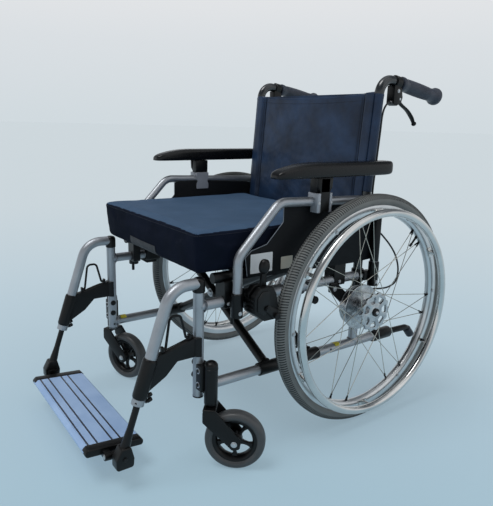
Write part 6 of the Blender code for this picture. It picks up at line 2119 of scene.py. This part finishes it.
    def crease(self, mesh: Mesh) -> None:
        """Adds shallow creases and a wavy lower edge, and keeps the piece inside its box."""
        middle = (self.front_y + self.rear_y) / 2
        limits = (self.half_w, (self.rear_y - self.front_y) / 2)
        for vertex in mesh.vertices:
            p = vertex.co
            wall = max(abs(p.x) / limits[0], abs(p.y - middle) / limits[1])
            up = (p.z - self.bottom) / (self.top - self.bottom)
            amount = 0.0016 * noise.noise(Vector((p.x * 9, p.y * 9, p.z * 14)))
            amount += 0.0007 * noise.noise(Vector((p.x * 34, p.y * 34, p.z * 60)))
            if up > 0.9:
                p.z += amount * 1.2
            elif wall > 0.9:
                out = Vector((p.x / limits[0], (p.y - middle) / limits[1], 0))
                p += out.normalized() * amount * 1.6
            if wall > 0.9 and up < 0.25:
                p.z += 0.0028 * noise.noise(Vector((p.x * 11, p.y * 11, 3.1))) * (1 - up * 4)
            p.x = min(max(p.x, -self.half_w), self.half_w)
            p.y = min(max(p.y, self.front_y), self.rear_y)
            p.z = min(p.z, self.top)


def bulge(value: float, middle: float, width: float) -> float:
    """1 at the middle, falling away smoothly on both sides."""
    return math.exp(-(((value - middle) / width) ** 2))


def vertex_array(mesh: Mesh) -> np.ndarray:
    """The places of a mesh's points, one row each."""
    flat = np.zeros(len(mesh.vertices) * 3, np.float32)
    mesh.vertices.foreach_get("co", flat)
    return flat.reshape(-1, 3).astype(float)


@dataclass(frozen=True)
class Backrest:
    """The back: a coated cloth panel with two drawn-in seams and a sagging top, and a sleeve on each post."""

    bottom: float = 0.452
    top: float = 0.861
    half_w: float = 0.2465
    strip_x: float = 0.2135
    strip_lift: float = 0.0062
    seam_x: float = 0.21
    thin_x: float = 0.2025
    sleeve_foot: float = 0.606
    sleeve_top: float = 0.856
    columns: int = 132
    rows: int = 104

    def front(self, x: float, share: float) -> tuple[float, float]:
        """How far the front face stands before the posts' line, and how far the top sags, at a place.

        Args:
            x: The place across.
            share: The place from the bottom, 0, to the top, 1.

        Returns:
            The y of the front face, and its z.
        """
        sag = 0.009 * max(0.0, 1 - (x / self.half_w) ** 2) * share
        z = self.bottom + (self.top - self.bottom) * share - sag
        seam = bulge(abs(x), self.seam_x, 0.0042)
        belly = max(0.0, 1 - (x / (self.seam_x - 0.002)) ** 2) ** 0.6
        rise = math.sin(math.pi * share) ** 0.4 if 0 < share < 1 else 0.0
        crease = 0.0022 * noise.noise(Vector((x * 7.0, share * 2.6, 0.7)))
        crease += 0.0016 * (1 - abs(noise.noise(Vector((x * 16 + share * 5, share * 7, 4.2))))) ** 3 - 0.0008
        fine = 0.0005 * noise.noise(Vector((x * 60, share * 30, 1.1)))
        strip = min(max((abs(x) - self.strip_x) / 0.006, 0.0), 1.0)
        lift = self.strip_lift * strip * strip * (3 - 2 * strip) - 0.0012 * max(abs(x) - 0.2425, 0.0) / 0.004
        waves = (crease + fine) * rise * (1 - strip)
        y = back_line(z) - 0.0105 - lift - 0.007 * belly * rise + 0.005 * seam + waves
        return y, z

    def on_front(self, x: float, share: float, out: float) -> Vector:
        """A point a little in front of the panel."""
        y, z = self.front(x, share)
        return Vector((x, y - out, z))

    def build(self, rows: Pattern) -> None:
        """Places the panel, its hems and stitches, and the sleeves.

        Args:
            rows: The tree that lays stitches along a path.
        """
        panel = place("back_panel", [self.panel()], COATED, "left_frame", ["back_upholstery"], round_below=80)
        seams = (-self.seam_x, self.seam_x)
        paths = []
        for x in [seam + shift for seam in seams for shift in (-0.0055, 0.0055)]:
            paths.append([self.on_front(x, s / 60, 0.0002) for s in range(2, 59)])
        for share in (0.03, 0.955):
            paths.append([self.on_front(x, share, 0.0002) for x in np.linspace(-0.222, 0.222, 80)])
        stitches = place(
            "back_stitches", [stitched(rows, path, 0.005) for path in paths], THREAD, "left_frame"
        )
        # Black cords along the two seams: painted shade in the seams' valleys
        shade_cords = [tube([self.on_front(x, s / 60, 0.0004) for s in range(61)], 0.0017, 10) for x in seams]
        for piece in (panel, stitches, place("back_seam_cords", shade_cords, WEBBING_AND_SEAM_SHADE, "left_frame")):
            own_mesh(piece)
        for piece in place_pair("back_sleeve", [self.sleeve()], COATED, "frame"):
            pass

    def panel(self) -> Mesh:
        """The panel as a closed shell with rolled edges."""
        rings = []
        for j in range(self.rows + 1):
            share = j / self.rows
            near = []
            far = []
            for i in range(self.columns + 1):
                x = -self.half_w + 2 * self.half_w * i / self.columns
                y, z = self.front(x, share)
                hem = 0.001 * bulge(share, 0.985, 0.012) + 0.001 * bulge(share, 0.012, 0.01)
                back = back_line(z) + 0.006 + 0.0012 * noise.noise(Vector((x * 8, share * 3, 9.0)))
                end = 0.0052 if j in (0, self.rows) else 0.0
                if abs(x) > self.thin_x:
                    back = y + 0.002
                    end = min(end, 0.0006)
                near.append(Vector((x, y - hem + end, z)))
                far.append(Vector((x, back - end, z)))
            rings.append(near + far[::-1])
        return skin(rings)

    def sleeve(self) -> Mesh:
        """The sleeve round a post, a little slack, with a hem at its foot."""
        low = Vector((FRAME_X, back_line(self.sleeve_foot), self.sleeve_foot))
        high = Vector((FRAME_X, back_line(self.sleeve_top), self.sleeve_top))
        count = 60
        rings = []
        first, second = across(high - low)
        for i in range(count + 1):
            share = i / count
            hem = 0.0003 * bulge(share, 0.02, 0.014) + 0.0006 * bulge(share, 0.985, 0.012)
            spot = low.lerp(high, share)
            ring_points = []
            for k in range(32):
                t = 2 * math.pi * (k + 0.5) / 32
                slack = 0.0002 * noise.noise(Vector((math.cos(t) * 2, math.sin(t) * 2, share * 9)))
                r = 0.0128 + hem + slack
                ring_points.append(spot + r * (math.cos(t) * first + math.sin(t) * second))
            rings.append(ring_points)
        return skin(rings)


def seen_share(tree: bpy.types.NodeTree) -> bpy.types.NodeSocket:
    """1 for the camera's rays and those in metal or through glass, 0 for the rays that light the chair."""
    path = add_node(tree, "ShaderNodeLightPath").outputs
    seen = path["Is Camera Ray"]
    for kind in ("Is Glossy Ray", "Is Transmission Ray"):
        seen = add_node(tree, "ShaderNodeMath", {}, {0: seen, 1: path[kind]}, operation="MAXIMUM").outputs[0]
    return seen


@dataclass(frozen=True)
class Studio:
    """The camera at the photograph's angle, soft lamps, a pale floor and a pale surround."""

    place: tuple = (1.22799, -0.85112, 0.7763)
    yaw: float = 54.27954
    pitch: float = 13.08824
    roll: float = 1.49238
    lens: float = 38.57
    shift: tuple = (4.0155 / 506, -4.6745 / 506)
    floor_radius: float = 90.0
    floor_glow: float = 0.55
    glow_strength: float = 0.97
    nearest: float = 0.9
    ground: tuple = (
        (0.0, "#D1DADF"), (0.15, "#CDD8DE"), (0.32, "#BCCFDA"), (0.51, "#AFC7D5"), (0.75, "#A8C4D3")
    )
    sky: tuple = (
        (0.0, "#D1DADF"), (0.13, "#DADFE3"), (0.23, "#E5E6E8"), (0.34, "#A9AEB3"), (0.55, "#5C6167"),
        (0.78, "#8E949A"), (1.0, "#F2F4F6"),
    )

    def build(self) -> None:
        """Makes camera, lamps, floor and world."""
        self.camera()
        self.lamps()
        self.floor()
        self.world()
        bpy.context.scene.view_settings.view_transform = "Standard"

    def camera(self) -> None:
        """Sets the camera from its place and its three turns."""
        a, e, r = (math.radians(v) for v in (self.yaw, self.pitch, self.roll))
        ahead = Vector((-math.sin(a) * math.cos(e), math.cos(a) * math.cos(e), -math.sin(e)))
        right = Vector((math.cos(a), math.sin(a), 0))
        up = right.cross(ahead)
        right, up = right * math.cos(r) + up * math.sin(r), up * math.cos(r) - right * math.sin(r)
        data = bpy.data.cameras.new("camera")
        data.lens = self.lens
        data.sensor_width = 36
        data.shift_x, data.shift_y = self.shift
        data.clip_end = 200
        camera = bpy.data.objects.new("camera", data)
        turn = Matrix((right, up, -ahead)).transposed().to_4x4()
        camera.matrix_world = Matrix.Translation(self.place) @ turn
        bpy.context.scene.collection.objects.link(camera)
        bpy.context.scene.camera = camera

    def lamps(self) -> None:
        """A broad soft key from high on the front left, and a weak fill from the right."""
        for name, toward, spread, strength in (
            ("key", (-0.1, -0.42, 1.0), 28, 1.25), ("fill", (1.0, 0.5, 0.9), 45, 0.3),
        ):
            data = bpy.data.lights.new(name, "SUN")
            data.angle = math.radians(spread)
            data.energy = strength
            lamp = bpy.data.objects.new(name, data)
            lamp.matrix_world = Vector(toward).to_track_quat("Z", "Y").to_matrix().to_4x4()
            bpy.context.scene.collection.objects.link(lamp)

    def floor(self) -> None:
        """A wide floor that pales towards the back, as the photograph's backdrop does."""
        bm = bmesh.new()
        bmesh.ops.create_circle(bm, cap_ends=True, radius=self.floor_radius, segments=96)
        mesh = bpy.data.meshes.new("floor")
        bm.to_mesh(mesh)
        bm.free()
        floor = bpy.data.objects.new("floor", mesh)
        bpy.context.scene.collection.objects.link(floor)
        made = bpy.data.materials.new("pale_blue_grey_studio_floor")
        made.use_nodes = True
        tree = made.node_tree
        shader = tree.nodes["Principled BSDF"]
        shader.inputs["Roughness"].default_value = 0.9
        shader.inputs["Specular IOR Level"].default_value = 0.0
        foot = (self.place[0], self.place[1], 0.0)
        spot = add_node(tree, "ShaderNodeTexCoord").outputs["Object"]
        away = add_node(
            tree, "ShaderNodeVectorMath", {1: foot}, {0: spot}, operation="DISTANCE"
        ).outputs["Value"]
        away = add_node(tree, "ShaderNodeMath", {1: self.nearest}, {0: away}, operation="MAXIMUM").outputs[0]
        fall = add_node(tree, "ShaderNodeMath", {0: self.place[2]}, {1: away}, operation="DIVIDE").outputs[0]
        ramp = add_node(tree, "ShaderNodeValToRGB", {}, {"Fac": fall})
        fill_ramp(ramp.color_ramp, self.ground)
        tree.links.new(ramp.outputs["Color"], shader.inputs["Base Color"])
        share = add_node(
            tree, "ShaderNodeMath", {1: self.floor_glow}, {0: seen_share(tree)}, operation="MULTIPLY"
        )
        glow = add_node(
            tree, "ShaderNodeEmission", {"Strength": self.glow_strength}, {"Color": ramp.outputs["Color"]}
        ).outputs[0]
        mixed = add_node(
            tree, "ShaderNodeMixShader", {}, {0: share.outputs[0], 1: shader.outputs[0], 2: glow}
        ).outputs[0]
        tree.links.new(mixed, tree.nodes["Material Output"].inputs["Surface"])
        mesh.materials.append(made)

    def world(self) -> None:
        """Lights the chair from all round, most from above, and shows a pale gradient to camera and metal."""
        world = bpy.data.worlds.new("surround")
        bpy.context.scene.world = world
        world.use_nodes = True
        tree = world.node_tree
        tree.nodes.clear()
        seen = seen_share(tree)
        direction = add_node(tree, "ShaderNodeTexCoord").outputs["Generated"]
        up = add_node(tree, "ShaderNodeSeparateXYZ", {}, {0: direction}).outputs[2]
        shown = add_node(tree, "ShaderNodeValToRGB", {}, {"Fac": up})
        fill_ramp(shown.color_ramp, self.sky)
        light = add_node(tree, "ShaderNodeValToRGB", {}, {"Fac": up})
        fill_ramp(light.color_ramp, ((0.0, "#ACADAD"), (1.0, "#CECFCF")))
        backgrounds = [
            add_node(
                tree, "ShaderNodeBackground", {"Strength": 1.0}, {"Color": ramp.outputs["Color"]}
            ).outputs[0]
            for ramp in (light, shown)
        ]
        mixed = add_node(tree, "ShaderNodeMixShader", {}, {0: seen, 1: backgrounds[0], 2: backgrounds[1]})
        add_node(tree, "ShaderNodeOutputWorld", {}, {"Surface": mixed.outputs[0]})


def main() -> None:
    """Builds every assembly in turn, then the studio."""
    logging.basicConfig(level=logging.INFO, format="%(message)s")
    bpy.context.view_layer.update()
    Studio().build()
    repeat, rows, hoop_tree = repeat_round_x(), row_along_path(), hoop()
    PushHandle().build()
    SideFrame().build()
    WheelLock().build()
    TippingLever().build()
    RearWheel().build(repeat, hoop_tree)
    DrumBrake().build()
    Caster().build(repeat)
    Armrest().build()
    Legrest().build()
    Footplate().build()
    CrossBraces().build()
    SeatSling().build()
    SeatCushion().build(rows)
    Backrest().build(rows)


if __name__ == "__main__":
    main()
